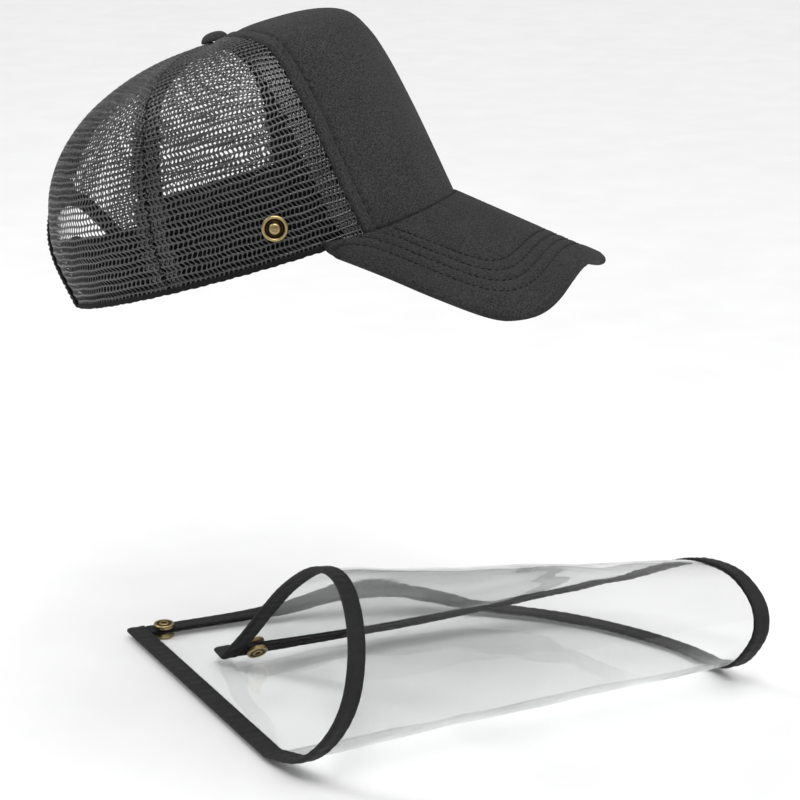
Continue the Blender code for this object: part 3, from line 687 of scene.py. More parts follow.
def front_puff(t, from_seam):
    """Outward relief of the padded front: a rolled edge, a stitched groove, then the foam's swell."""
    height = np.interp(t, np.linspace(0, 1, PROFILE_STEPS), SIDE_LINE[:, 1])
    dimple = 0.68 + 0.32 * np.cos(2 * math.pi * t * FRONT_HEIGHT / STITCH_PITCH)
    fade = 1 - ease((t - 0.86) / 0.1)
    roll = 1.0 * np.sin(math.pi * np.clip(from_seam / STITCH_GROOVE, 0, 1)) ** 0.8
    groove = -1.15 * dimple * np.exp(-(((from_seam - STITCH_GROOVE) / 1.25) ** 2))
    swell = 0.55 * ease((from_seam - STITCH_GROOVE) / 5.0)
    tucked = -1.0 * (1 - ease(from_seam / 1.6))
    foot = -0.9 * (1 - ease(height / 2.5))
    return (roll + groove + swell) * fade + tucked + foot


def build_front():
    angles, t, from_seam = front_grid(230, 0.0)
    outer = crown(angles, t, -front_puff(t, from_seam))
    inner = crown(angles, t, CLOTH_THICK + 0.2)
    panel = shell("front_cloth", outer, inner, CLOTH, "cap")
    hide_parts("front_panel")
    angles, t, _ = front_grid(60, FOAM_INSET)
    t = np.minimum(t, FOAM_TOP)
    quilt = 0.25 * np.sin(angles * 0.35) * np.sin(t * 22.0)
    outer = crown(angles, t, FOAM_DEPTH)
    inner = crown(angles, t, FOAM_DEPTH + FOAM_THICK + quilt)
    foam = shell("front_foam_pad", outer, inner, FOAM, "cap")
    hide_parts("front_foam")


def sewing_line(angle, t, depth, out=1.0):
    """Points at a depth in the crown with the normals that their stitches stand on (count x 6)."""
    return np.concatenate([crown(angle, t, depth), out * crown_normal(angle, t)], axis=1)


def seam_path(seam, offset, low, high, out, depth, side):
    """A sewing line beside a seam."""
    t = np.linspace(low, high, 160)
    return sewing_line(side * shifted(seam, offset)(t), t, depth, out)


# ------------------------------------------------------------------ crown: net

NET_PITCH, NET_ROW = 2.1, 3.2
NET_LEAN, HOLE_SHIFT = 0.30, 0.03
PANEL_STEPS, PANEL_MIDDLE_T = 400, 0.35
FAN_START, FAN_BLEND = 45.0, 70.0
RIM_BAND, RIM_BAND_BLEND, PLEAT_PITCH = 30.0, 8.0, 5.6
NET_DEPTH, FOLD_DEPTH = 0.45, 1.2
WHOLE_HOLE, FOLD_HOLE = (0.74, 0.76), (0.5, 0.45)
RIDGE = [(0, -1), (1, -1), (1, 0), (1, 1), (0, 1), (-1, 1), (-1, 0), (-1, -1)]
HOLE = [(u * 0.72, v * 0.72) if u * v else (u, v) for u, v in RIDGE]
STRAND_SHARES, STRAND_THICK = (1.0, 0.5, 0.0), (0.27, 0.2, 0.0)
STRAND_SWELL = [1.0, 1.35, 0.85, 1.35, 1.0, 1.35, 0.85, 1.35]


class Panel:
    """A panel of net between two seams, with flat coordinates: x along its rows, y up its middle."""

    def __init__(self, first, last):
        self.first, self.last = first, last
        self.t = np.linspace(0, 1, PANEL_STEPS)
        self.middle = float((first(PANEL_MIDDLE_T) + last(PANEL_MIDDLE_T)) / 2)
        line = crown_skin(np.full(PANEL_STEPS, self.middle), self.t)
        self.up = run_lengths(line)
        self.height = self.up[-1]
        self.width = 0.0
        for t in np.linspace(0, 0.9, 10):
            angles = np.linspace(float(first(np.array(t))), float(last(np.array(t))), 30)
            run = crown_skin(angles, np.full(30, t))
            self.width = max(self.width, np.linalg.norm(np.diff(run, axis=0), axis=1).sum())

    def place(self, x, y):
        """Angle and t of flat points: rows are level near the rim and straight across at the top."""
        t = np.interp(y, self.up, self.t)
        angle = np.full(np.shape(x), self.middle)
        fan = ease((y - FAN_START) / FAN_BLEND)
        for _ in range(8):
            angle = self.middle + np.degrees(x / radius_at(angle, t))
            lean = np.cos(np.clip(np.radians(angle - self.middle) * fan, -1.2, 1.2))
            t = np.interp(self.height - (self.height - y) / lean, self.up, self.t)
        return angle, t


def in_arch(points, margin):
    """True for points of the cap's frame inside the rear opening widened by a margin."""
    x, y, z = points[..., 0], points[..., 1], points[..., 2]
    inside = (x / (ARCH_HALF_WIDTH + margin)) ** 2 + (np.maximum(z, 0) / (ARCH_HEIGHT + margin)) ** 2 < 1
    return inside & (y > 0)


def net_relief(angle, t, height):
    """How far the net leaves the crown's skin: slack ripples, and the pleats of the rim band."""
    band = 1 - ease((height - RIM_BAND) / RIM_BAND_BLEND)
    pleat = 0.35 * np.sin(2 * math.pi * height / PLEAT_PITCH + 0.6 * np.sin(np.radians(angle) * 3))
    behind = ease((np.abs(angle) - 75.0) / 35.0)
    slack = 0.5 * np.sin(np.radians(angle) * 9.0 + height * 0.05) * ease((height - 35) / 30.0)
    crease = 0.3 * np.sin(np.radians(angle) * 26.0 + height * 0.11) * (1 - behind) * band
    return band * pleat * (0.35 + 0.65 * behind) + slack + crease


def inside_cell(grid, i, j, u, v):
    """Values at (u, v), each from -1 to 1, inside the cells (i, j) of a grid of corner values."""
    u, v = (u + 1) / 2, (v + 1) / 2
    low = grid[i, j] * (1 - u) + grid[i, j + 1] * u
    high = grid[i + 1, j] * (1 - u) + grid[i + 1, j + 1] * u
    return low * (1 - v) + high * v


def net_corners(panel, phase, random):
    """Flat coordinates of the corners of all cells, each row leaning the other way and a little uneven."""
    reach = panel.width / 2 + 6
    columns = int(2 * reach / NET_PITCH) + 1
    rows = int(panel.height / NET_ROW) + 1
    xs = -reach + NET_PITCH * (np.arange(columns + 1) + phase)
    ys = NET_ROW * (np.arange(rows + 1) + phase)
    lean = np.where(np.arange(rows + 1) % 2 == 0, NET_LEAN, -NET_LEAN) * NET_PITCH
    corner_x = xs[None, :] + lean[:, None] + 0.1 * random.standard_normal((rows + 1, columns + 1))
    waves = 0.22 * np.sin(xs[None, :] * 0.32 + 0.9 * np.arange(rows + 1)[:, None])
    corner_y = ys[:, None] + waves + 0.07 * random.standard_normal((rows + 1, columns + 1))
    return corner_x, corner_y


def net_mesh(panel, side, keep, hole, depth, phase, seed):
    """Cells of net: a hole in each, ringed by a strand that is thickest on the cell's border."""
    corner_x, corner_y = net_corners(panel, phase, np.random.default_rng(seed + side))
    rows, columns = corner_x.shape
    i, j = (a.ravel() for a in np.meshgrid(np.arange(rows - 1), np.arange(columns - 1), indexing="ij"))
    centre_y = inside_cell(corner_y, i, j, 0.0, 0.0)
    angle, t = panel.place(inside_cell(corner_x, i, j, 0.0, 0.0), centre_y)
    inside = (angle > panel.first(t)) & (angle < panel.last(t)) & (t < CROWN_TOP) & (centre_y > 0)
    inside &= keep(angle, t, crown_skin(angle, t))
    i, j = i[inside], j[inside]

    flat = []
    for share in STRAND_SHARES:
        ring = []
        for (ridge_u, ridge_v), (hole_u, hole_v) in zip(RIDGE, HOLE):
            u = ridge_u * share + hole_u * hole[0] * (1 - share)
            v = ridge_v * share + (hole_v * hole[1] + HOLE_SHIFT) * (1 - share)
            ring.append([inside_cell(corner, i, j, u, v) for corner in (corner_x, corner_y)])
        flat.append(ring)
    flat = np.array(flat)
    angle, t = panel.place(flat[:, :, 0], flat[:, :, 1])
    angle = np.clip(angle, panel.first(t), panel.last(t))
    t = np.clip(t, 0.0, CROWN_TOP)
    bar = np.array(STRAND_THICK)[:, None, None] * np.array(STRAND_SWELL)[None, :, None]
    relief = net_relief(angle, t, crown_skin(angle, t)[..., 2])
    outer = crown(angle, t, depth - bar - relief)
    inner = crown(angle, t, depth + bar - relief)
    points = np.concatenate([outer.reshape(-1, 3), inner.reshape(-1, 3)]) * [side, 1, 1]

    number = np.arange(outer[..., 0].size).reshape(outer.shape[:3])
    faces = []
    for r in range(len(number) - 1):
        for k in range(8):
            n = (k + 1) % 8
            a, b, c, d = number[r, k], number[r, n], number[r + 1, n], number[r + 1, k]
            faces.append(np.stack([a, b, c, d], axis=1))
            faces.append(np.stack([d, c, b, a], axis=1) + number.size)
    points, faces = merged(points, np.concatenate(faces))
    return points, faces if side > 0 else faces[:, ::-1]


def merged(points, faces, within=0.02):
    """Points that fall together made one, as where cells meet and where a hole's two sides join."""
    keys = np.round(points / within).astype(np.int64)
    _, first, index = np.unique(keys, axis=0, return_index=True, return_inverse=True)
    faces = index.reshape(-1)[faces]
    whole = np.ones(len(faces), bool)
    for k in range(4):
        whole &= faces[:, k] != faces[:, (k + 1) % 4]
    return points[first], faces[whole]


def whole_panel(angle, t, spot):
    return np.ones(np.shape(t), bool)


def clear_of_arch(angle, t, spot):
    return ~in_arch(spot, 1.5)


def near_seam(seam, low, high, top):
    """Keeps the cells whose distance ahead of a seam lies in a range, up to a height t."""

    def keep(angle, t, spot):
        away = np.radians(angle - seam(t)) * radius_at(angle, t)
        return (away > low) & (away < high) & (t < top) & clear_of_arch(angle, t, spot)

    return keep


def build_nets():
    """The four panels of net, and the strips of net that lie doubled along their seams."""
    side = Panel(front_seam, side_seam)
    back = Panel(side_seam, back_seam)
    whole = {"hole": WHOLE_HOLE, "depth": NET_DEPTH, "phase": 0.0, "seed": 3}
    folded = {"hole": FOLD_HOLE, "depth": FOLD_DEPTH, "phase": 0.45, "seed": 11}
    pieces = (
        ("side", side, whole_panel, whole),
        ("back", back, clear_of_arch, whole),
        ("fold_front", side, near_seam(front_seam, -1.0, 10.5, 0.9), folded),
        ("fold_side_ahead", side, near_seam(side_seam, -6.5, 0.5, 0.93), folded),
        ("fold_side_behind", back, near_seam(side_seam, -0.5, 6.5, 0.93), folded),
        ("fold_back", back, near_seam(back_seam, -6.5, 0.5, 0.93), folded),
    )
    for sign, word in ((1, "right"), (-1, "left")):
        for place, panel, keep, shape in pieces:
            points, faces = net_mesh(panel, sign, keep, **shape)
            made = add_mesh(f"net_{place}_{word}", tilted(points), faces, NET, "cap")
            if shape is whole:
                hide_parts(f"mesh_{place}_{word}")


# ------------------------------------------------------------------ crown: tapes, sweatband, hem, button


BAND_END, BAND_HEIGHT = 145.5, 33.5
HEM_END, HEM_STITCHES_START = 154.0, 57.0
BUTTON_PROFILE = [
    (0.01, 4.55), (1.5, 4.5), (3.0, 4.25), (4.4, 3.75), (5.5, 3.0), (6.3, 2.0),
    (6.75, 1.1), (6.7, 0.35), (6.0, 0.0), (4.5, 0.05), (2.5, 0.2), (0.01, 0.2),
]


def build_tapes():
    """The woven tapes sewn over the seams inside the crown."""
    seams = {
        "seam_tape_front_right": (front_seam, 1, 0.0, -5.5, 8.5),
        "seam_tape_front_left": (front_seam, -1, 0.0, -5.5, 8.5),
        "seam_tape_side_right": (side_seam, 1, 0.0, -5.6, 5.6),
        "seam_tape_side_left": (side_seam, -1, 0.0, -5.6, 5.6),
        "seam_tape_back": (back_seam, 1, 0.36, -5.0, 5.0),
    }
    paths = []
    for name, (seam, side, low, start, end) in seams.items():
        t = np.linspace(low, 0.9, 150)[:, None]
        across = np.linspace(start, end, 15)[None, :]
        angle = side * shifted(seam, across)(t)
        edge = np.abs(2 * (across - start) / (end - start) - 1)
        soft = 0.35 * edge**4 + 0.12 * np.sin(t * 90.0 + across)
        depth = CLOTH_THICK + LAYER_GAP + 0.45 + soft
        outer, inner = crown(angle, t, depth), crown(angle, t, depth + 0.6)
        piece = shell(f"{name}_woven", outer, inner, TAPE, "cap")
        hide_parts(name)
        for offset in (start + 1.6, end - 1.6):
            paths.append(seam_path(seam, offset, low + 0.01, 0.89, -1.0, CLOTH_THICK + 1.45, side))
    stitches("stitching_seam_tapes", paths, 3.0, 0.72, 0.22)


def build_sweatband():
    """The padded band inside the rim, open at the back, with two rows of stitches."""
    angles = np.linspace(-BAND_END, BAND_END, 420)[None, :]
    rise = np.linspace(0, 1, 26)[:, None]
    ragged = 0.55 * np.sin(np.radians(angles) * 17) + 0.35 * np.sin(np.radians(angles) * 41 + 1.0)
    top = np.interp(BAND_HEIGHT + ragged, SIDE_LINE[:, 1][:30], np.linspace(0, 29 / 60, 30))
    t = rise * top
    padded = 0.45 * np.sin(math.pi * rise) ** 0.6
    wrinkle = 0.16 * np.sin(np.radians(angles) * 60 + rise * 5) * np.sin(math.pi * rise)
    depth = band_depth(angles) + 0.25
    outer = crown(angles, t, depth - 0.1 * padded)
    inner = crown(angles, t, depth + 1.0 + padded + wrinkle)
    band = shell("sweatband_twill", outer, inner, TWILL, "cap")
    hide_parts("sweatband")
    paths = []
    for share in (0.09, 0.9):
        line = angles[0, 8:-8]
        level = share * top[0, 8:-8]
        swell = 0.45 * math.sin(math.pi * share) ** 0.6
        paths.append(sewing_line(line, level, band_depth(line) + 0.25 + 1.0 + swell, -1.0))
    stitches("stitching_sweatband", paths, 3.4, 0.7, 0.25)


def build_rim_hem():
    """The folded edge that closes the net, the cloth and the sweatband along the rim."""
    angles = np.linspace(-HEM_END, HEM_END, 460)
    in_front = ease((57.0 - np.abs(angles)) / 3.0)
    near = np.where(np.abs(angles) < 54, 1.6, -0.35) * in_front + -0.35 * (1 - in_front)
    far = band_depth(angles) + 0.9 - 1.6 * ease((np.abs(angles) - 146.0) / 6.0)
    wide = (far - near) / 2 + 0.35
    middle = (far + near) / 2
    skin, out = crown_skin(angles, 0.0 * angles), crown_normal(angles, 0.0 * angles)
    level = unit(out * [1, 1, 0])
    gathered = 0.18 * np.sin(np.radians(angles) * 130) + 0.1 * np.sin(np.radians(angles) * 47)
    sections = []
    for turn in full_turn(16):
        c, s = math.cos(turn), math.sin(turn)
        depth = middle - np.sign(c) * abs(c) ** 0.7 * wide
        height = 0.55 + (1.55 + gathered) * np.sign(s) * abs(s) ** 0.8
        sections.append(skin - level * depth[:, None] + np.array([0, 0, 1.0]) * height[:, None])
    loft("rim_hem", np.array(sections).transpose(1, 0, 2), TWILL, "cap")
    side = np.linspace(HEM_STITCHES_START, HEM_END - 2.0, 240)
    paths = [sewing_line(sign * side, np.full_like(side, 0.026), -0.15) for sign in (1, -1)]
    stitches("stitching_rim", paths, 2.6, 0.7, 0.24)


def build_button():
    """The covered button, gathered towards its underside, with its rivet inside the crown."""
    apex = crown_skin(np.array(0.0), np.array(1.0))
    turn = full_turn(96)
    rings = []
    for radius, height in smooth_line(BUTTON_PROFILE, 44):
        gather = 0.16 * np.sin(turn * 8) * ease((radius - 4.6) / 2.0) * (0.4 + 0.6 * (height < 2.6))
        r = radius + gather
        rings.append(np.stack([r * np.cos(turn), r * np.sin(turn), height + 0 * turn], axis=1) + apex)
    points = tilted(np.array(rings).reshape(-1, 3))
    faces = facing_out(points, tube_faces(len(rings), len(turn)))
    round_way, down_way = np.tile(turn * 6, len(rings)), np.repeat(np.arange(len(rings)) * 0.35, len(turn))
    weave = np.stack([round_way, down_way], axis=1)
    button = add_mesh("button_covered", points, faces, CLOTH, "cap", weave)
    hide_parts("top_button")
    place = pointing(tilted(apex), tilted(np.array([0.0, 0.0, 1.0])))
    washer = [(0.0, -0.7), (1.9, -0.7), (2.0, -1.0), (2.05, -2.2), (2.6, -2.45)]
    washer += arc(6.6, -2.95, 0.6, 80, -80, 9)
    washer += [(5.2, -3.6), (3.4, -3.3), (2.6, -3.7), (1.2, -4.0), (0.0, -4.05)]
    turned_brass("button_rivet_turned", "top_button_rivet", washer, 64, "cap", place)


def build_rear_binding():
    """The tape folded over the edge of the rear opening."""
    turns = np.linspace(0, math.pi, 150)
    section = [(ARCH_BINDING - 0.1, -0.25), (ARCH_BINDING, -0.85), (ARCH_BINDING - 0.4, -1.15)]
    section += [(w, -1.25 - 0.1 * math.sin(w * 1.5)) for w in np.linspace(ARCH_BINDING - 1.2, 0.6, 8)]
    section += [(-0.4, -0.9), (-0.75, -0.1), (-0.75, 0.8), (-0.4, 1.4)]
    section += [(w, 1.6) for w in np.linspace(0.6, ARCH_BINDING - 1.4, 6)]
    section += [(ARCH_BINDING - 0.7, 1.5), (ARCH_BINDING - 0.6, 1.2)]
    section = np.array(section)
    widen, depth = section[None, :, 0], section[None, :, 1]
    rumple = 0.22 * np.sin(turns * 46)[:, None] * (widen > 0)
    x = (ARCH_HALF_WIDTH + widen) * np.cos(turns)[:, None]
    z = (ARCH_HEIGHT + widen) * np.sin(turns)[:, None]
    sections = crown(*back_surface(x, z), depth + rumple * 0.6)
    piece = loft("rear_opening_tape", sections, TAPE, "cap")
    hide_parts("rear_opening_binding")
    paths = []
    for widen in (1.3, ARCH_BINDING - 1.4):
        x, z = (ARCH_HALF_WIDTH + widen) * np.cos(turns), (ARCH_HEIGHT + widen) * np.sin(turns)
        paths.append(sewing_line(*back_surface(x, z), -1.32))
    stitches("stitching_rear_opening", paths, 2.8, 0.7, 0.24)


# ------------------------------------------------------------------ straps

STRAP_CUTTER = [(0.0, 6.0), (2.5, 6.0), (2.5, -6.0), (0.0, -6.0)]
STRAP_LIP = [(2.55, -0.1)] + arc(2.9, -0.05, 0.3, 180, 0, 9) + [(3.2, -0.1), (2.55, -0.1)]
STRAP_PEG = [(0.0, 1.75), (0.9, 1.7)] + arc(1.45, 1.25, 0.45, 90, 0, 6)
STRAP_PEG += [(1.75, 0.3), (2.2, -0.1), (2.2, -0.4), (0.0, -0.4)]


def strap_section():
    """The strap's section as (height, inward) points: rounded edges and a sunk outer face."""
    half, thick = STRAP_HEIGHT / 2, STRAP_THICK
    flat = half - 1.2
    section = []
    for middle, start, run in ((half - 0.5, -90, np.linspace(flat, -flat, 14)), (-half + 0.5, 90, ())):
        for a in np.radians(np.linspace(start, start + 180, 7)):
            section.append((middle + 0.5 * math.cos(a), thick / 2 + (thick / 2) * math.sin(a)))
        section += [(h, thick) for h in run]
    section += [(h, 0.22 * ease((half - 2.0 - abs(h)) / 0.8)) for h in np.linspace(-flat, flat, 22)]
    return np.array(section)


def cut_holes(strap, cutters):
    """Cuts the shapes of the cutters out of a strap for good, and removes them."""
    for cutter in cutters:
        modifier = strap.modifiers.new("hole", "BOOLEAN")
        modifier.operation = "DIFFERENCE"
        modifier.solver = "EXACT"
        modifier.object = cutter
    graph = bpy.context.evaluated_depsgraph_get()
    graph.update()
    finished = bpy.data.meshes.new_from_object(strap.evaluated_get(graph))
    strap.modifiers.clear()
    strap.data = finished
    for cutter in cutters:
        bpy.data.objects.remove(cutter)


def build_strap(name, node, body, sewn_end, free_end, depth, holes=(), pegs=()):
    """A curved plastic strap with a rounded free end, holes cut through it or pegs standing on it."""
    xs = np.linspace(min(sewn_end, free_end), max(sewn_end, free_end), 140)
    section = strap_section()
    from_free = np.abs(xs - free_end)
    width = np.sqrt(np.clip(1 - np.clip(1 - from_free / 7.0, 0, 1) ** 2.6, 0.02, 1))
    middle = STRAP_LOW + STRAP_HEIGHT / 2
    z = middle + section[None, :, 0] * width[:, None]
    x = np.repeat(xs[:, None], len(section), axis=1)
    sections = crown(*back_surface(x, z), depth + section[None, :, 1])
    strap = loft(name, sections, STRAP_PLASTIC, body)
    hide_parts(node)

    def place(at):
        angle, t = back_surface(at, middle)
        return pointing(tilted(crown(angle, t, depth)), tilted(crown_normal(angle, t)))

    cutters = []
    for k, at in enumerate(holes):
        cutters.append(lathe(f"cutter_{name}_{k}", STRAP_CUTTER, 36, STRAP_PLASTIC, body, place(at)))
        lathe(f"{name}_lip_{k}", STRAP_LIP, 40, STRAP_PLASTIC, body, place(at))
    if cutters:
        cut_holes(strap, cutters)
    for k, at in enumerate(pegs):
        lathe(f"{name}_peg_{k}", STRAP_PEG, 40, STRAP_PLASTIC, body, place(at))


def build_straps():
    build_strap(
        "strap_holes_moulded", "strap_with_holes", "outer_strap",
        STRAP_SEWN_X, -STRAP_FREE_X, OUTER_STRAP_DEPTH, holes=[PEG_PITCH * i - 18.0 for i in range(7)],
    )
    build_strap(
        "strap_pegs_moulded", "strap_with_pegs", "inner_strap",
        -STRAP_SEWN_X, STRAP_FREE_X, INNER_STRAP_DEPTH, pegs=[14.0 - PEG_PITCH * i for i in range(7)],
    )


# ------------------------------------------------------------------ visor

VISOR_HALF = smooth_line(VISOR_OUTLINE, 161)
VISOR_COLUMNS, VISOR_ROWS = 321, 120
VISOR_STITCHES, VISOR_STITCH_PITCH = (13.8, 18.6, 23.4, 28.2), 3.2
VISOR_HALF_THICK, VISOR_EDGE = 2.45, 2.6
BOARD_HALF_THICK, BOARD_EDGE, BOARD_INSET = 1.0, 0.9, 4.2
ROUNDING, EDGE_CURVE_RADIUS = 6.0, 22.0


def visor_ends():
    """Plan points (x, forward) of the visor's root and edge, from the wearer's left corner to the right."""
    angle = np.linspace(-VISOR_ROOT_ANGLE, VISOR_ROOT_ANGLE, VISOR_COLUMNS)
    root = crown_skin(angle, 0.0 * angle)
    root = root + 0.2 * unit((root - [0.0, BUTTON_Y, 0.0]) * [1, 1, 0])
    start = np.stack([root[:, 0], -root[:, 1]], axis=1)
    return start, np.concatenate([VISOR_HALF, (VISOR_HALF * [-1, 1])[-2::-1]])


def visor_normal(plan):
    x = plan[..., 0]
    return unit(np.stack([2 * VISOR_ARCH * x, -VISOR_SLOPE + 0 * x, 1 + 0 * x], axis=-1))


def visor_point(plan, up=0.0):
    """Points above (or below) the visor's middle surface; up is measured square to it."""
    x, forward = plan[..., 0], plan[..., 1]
    height = VISOR_SLOPE * (RIM_FRONT - forward) - VISOR_ARCH * x * x
    return np.stack([x, -forward, height], axis=-1) + np.asarray(up)[..., None] * visor_normal(plan)


def visor_rounding(line, out, wide, thick, count, tilt):
    """Rows of points that round the visor's outer edge from above to below."""
    turns = np.radians(np.linspace(tilt, -tilt, count))
    return np.array([visor_point(line + out * (wide * math.cos(a)), thick * math.sin(a)) for a in turns])


def visor_from_edge(plan, edge):
    """Distance in mm from the visor's edge, blended over ROUNDING so that its level lines turn softly."""
    middle, border = visor_point(plan), visor_point(edge)
    step = np.linalg.norm(np.diff(border, axis=0), axis=1).mean()
    total = np.zeros(plan.shape[:2])
    for point in border:
        total += np.exp(-np.linalg.norm(middle - point, axis=-1) / ROUNDING) * step
    return -ROUNDING * np.log(total / math.sqrt(2 * math.pi * ROUNDING * EDGE_CURVE_RADIUS))


def visor_stitch_line(plan, from_edge, row):
    """Plan points of a row of stitches, at its distance from the edge in each column that reaches it."""
    line = []
    for c in range(plan.shape[1]):
        column = from_edge[:, c]
        if column[0] < row + 0.5:
            continue
        place = np.interp(-row, -column, np.arange(len(column)))
        low = int(place)
        high = min(low + 1, len(column) - 1)
        line.append(plan[low, c] * (1 - place % 1) + plan[high, c] * (place % 1))
    return np.array(line)


def visor_relief(from_edge, along):
    """Sunk stitch rows with a dimple at each stitch, and the soft swell of the padded edge."""
    relief = 0.35 * np.sin(math.pi * np.clip((from_edge - 3.0) / 11.0, 0, 1))
    for row in VISOR_STITCHES:
        dimple = 0.72 + 0.28 * np.cos(2 * math.pi * along / VISOR_STITCH_PITCH + row)
        relief = relief - 0.75 * dimple * np.exp(-(((from_edge - row) / 1.1) ** 2))
    return relief


def build_visor():
    start, end = visor_ends()
    out = unit(end - start)
    v = np.linspace(0, 1, VISOR_ROWS)[:, None, None]
    plan = start[None] + (end - out * VISOR_EDGE - start)[None] * v
    from_edge = visor_from_edge(plan, end)
    along = surface_lengths(visor_point(plan))[..., 0]
    up = VISOR_HALF_THICK + visor_relief(from_edge, along)
    rounds = visor_rounding(plan[-1], out, VISOR_EDGE, VISOR_HALF_THICK, 11, 75)
    skin = np.concatenate([visor_point(plan, up), rounds, visor_point(plan, -up)[::-1]])
    rows, columns = skin.shape[:2]
    points = tilted(skin.reshape(-1, 3))
    last = (rows - 1) * columns
    j = np.arange(columns - 1)
    i = np.arange(rows // 2 - 1)
    corner = np.stack([i, i + 1, rows - 2 - i, rows - 1 - i], axis=1) * columns
    root = np.stack([last + j, last + j + 1, j + 1, j], axis=1)
    faces = [grid_faces(rows, columns), root, corner[:, ::-1], corner + columns - 1]
    faces = facing_out(points, np.concatenate(faces))
    weave = surface_lengths(skin).reshape(-1, 2)
    # The visor is covered in the darker copy of the crown's cloth, which carries painted shade
    visor = add_mesh("visor_cloth_sewn", points, faces, VISOR_CLOTH_SHADED, "cap", weave)
    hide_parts("visor_top_cover", "visor_under_cover")
    paths = []
    for row in VISOR_STITCHES:
        line = visor_stitch_line(plan, from_edge, row)
        for sign in (1, -1):
            at = visor_point(line, sign * (VISOR_HALF_THICK - 0.42))
            paths.append(np.concatenate([at, sign * visor_normal(line)], axis=1))
    stitches("stitching_visor", paths, VISOR_STITCH_PITCH, 0.7, 0.25)


def build_visor_board():
    """The stiff board inside the visor, with rounded edges, a little smaller than its cloth."""
    start, end = (line[16:-16] for line in visor_ends())
    out = unit(end - start)
    v = np.linspace(0.02, 1, 40)[:, None, None]
    plan = start[None] + (end - out * BOARD_INSET - start)[None] * v
    rounds = visor_rounding(plan[-1], out, BOARD_EDGE, BOARD_HALF_THICK, 7, 70)
    skin = np.concatenate([visor_point(plan, BOARD_HALF_THICK), rounds])
    closing = np.repeat(skin[-1:], len(rounds), axis=0)
    under = np.concatenate([visor_point(plan, -BOARD_HALF_THICK), closing])
    board = shell("visor_board_moulded", skin, under, BOARD_PLASTIC, "cap")
    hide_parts("visor_board")


# ------------------------------------------------------------------ snaps on the cap


def build_studs():
    """The press studs at the sides of the front, each with its backing inside the cap."""
    stud = [(0.0, 3.3), (1.0, 3.28), (1.35, 3.2)] + arc(1.2, 1.9, 1.6, 62, -10, 10)
    stud += [(2.75, 1.3), (3.0, 0.95), (3.5, 0.8), (4.2, 0.95), (4.6, 1.35)]
    stud += arc(5.3, 1.25, 0.85, 150, -40, 14) + [(5.8, 0.4), (1.6, 0.4), (1.6, -5.8), (0.0, -5.8)]
    inside = float(band_depth(np.array(STUD_ANGLE))) + BAND_THICK + LAYER_GAP
    backing = [(2.1, -inside), (5.6, -inside)] + arc(5.2, -inside - 0.65, 0.65, 60, -90, 9)
    backing += [(4.0, -inside - 1.1), (3.4, -inside - 1.35), (2.1, -inside - 1.3), (2.1, -inside)]
    for side, word in ((1, "right"), (-1, "left")):
        place = cap_place(side * STUD_ANGLE, STUD_T)
        turned_brass(f"snap_stud_turned_{word}", f"snap_stud_{word}", stud, 96, "cap", place)
        turned_brass(f"snap_backing_turned_{word}", f"snap_backing_{word}", backing, 72, "cap", place)


# ------------------------------------------------------------------ shield

ROLL_STEPS = 90
WIDE_LINE = smooth_line(ROLL_WIDE, ROLL_STEPS)
TIP_LINE = smooth_line(ROLL_TIP, ROLL_STEPS)
WIDE_LENGTH = float(np.linalg.norm(np.diff(WIDE_LINE[:, [0, 2]], axis=0), axis=1).sum())
TIP_LENGTH = float(np.linalg.norm(np.diff(TIP_LINE[:, [0, 2]], axis=0), axis=1).sum())
AXIS = unit(np.array([*ROLL_AXIS, 0.0]))
ACROSS = np.array([AXIS[1], -AXIS[0], 0.0])


def sheet_middle(along, down):
    """Points of the flat pattern in place: along from corner A to B, down from the straight edge."""
    along, down = np.broadcast_arrays(np.asarray(along, float), np.asarray(down, float))
    w = np.clip(down / SHIELD_DEPTH, 0.0, 1.0)
    start = ROLL_START_WIDE + (ROLL_START_TIP - ROLL_START_WIDE) * w
    length = WIDE_LENGTH + (TIP_LENGTH - WIDE_LENGTH) * w * w
    f = (along - start) / length
    place = np.clip(f, 0.0, 1.0) * (ROLL_STEPS - 1)
    steps = np.arange(ROLL_STEPS)
    wide = [np.interp(place, steps, WIDE_LINE[:, k]) for k in range(3)]
    tip = [np.interp(place, steps, TIP_LINE[:, k]) for k in range(3)]
    across, shift, height = (a + (b - a) * w for a, b in zip(wide, tip))
    flat = f < 0
    shift = np.where(flat, shift * np.maximum(along, 0.0) / start, shift)
    across = np.where(flat, along, across) - np.where(f > 1, (f - 1) * length, 0.0)
    height = np.where(flat, 0.0, height)
    lifted = np.clip(1 - along / EDGE_LIFT_WIDTH, 0.0, 1.0) ** 2
    height = height + EDGE_LIFT * lifted * np.exp(-(((down - EDGE_LIFT_AT) / EDGE_LIFT_SPREAD) ** 2))
    base = SHIELD_CORNER + ACROSS * across[..., None] + AXIS * (shift + down)[..., None]
    return base + np.array([0.0, 0.0, 1.0]) * height[..., None]


def sheet_normal(along, down):
    """Square to the sheet, from points 3 mm to each side."""
    one = sheet_middle(along + 3.0, down) - sheet_middle(along - 3.0, down)
    two = sheet_middle(along, down + 3.0) - sheet_middle(along, down - 3.0)
    return unit(np.cross(one, two))


def sheet_point(along, down, off):
    """Points at a distance off the middle of the sheet, up where it lies flat on the floor."""
    return sheet_middle(along, down) + np.asarray(off)[..., None] * sheet_normal(along, down)


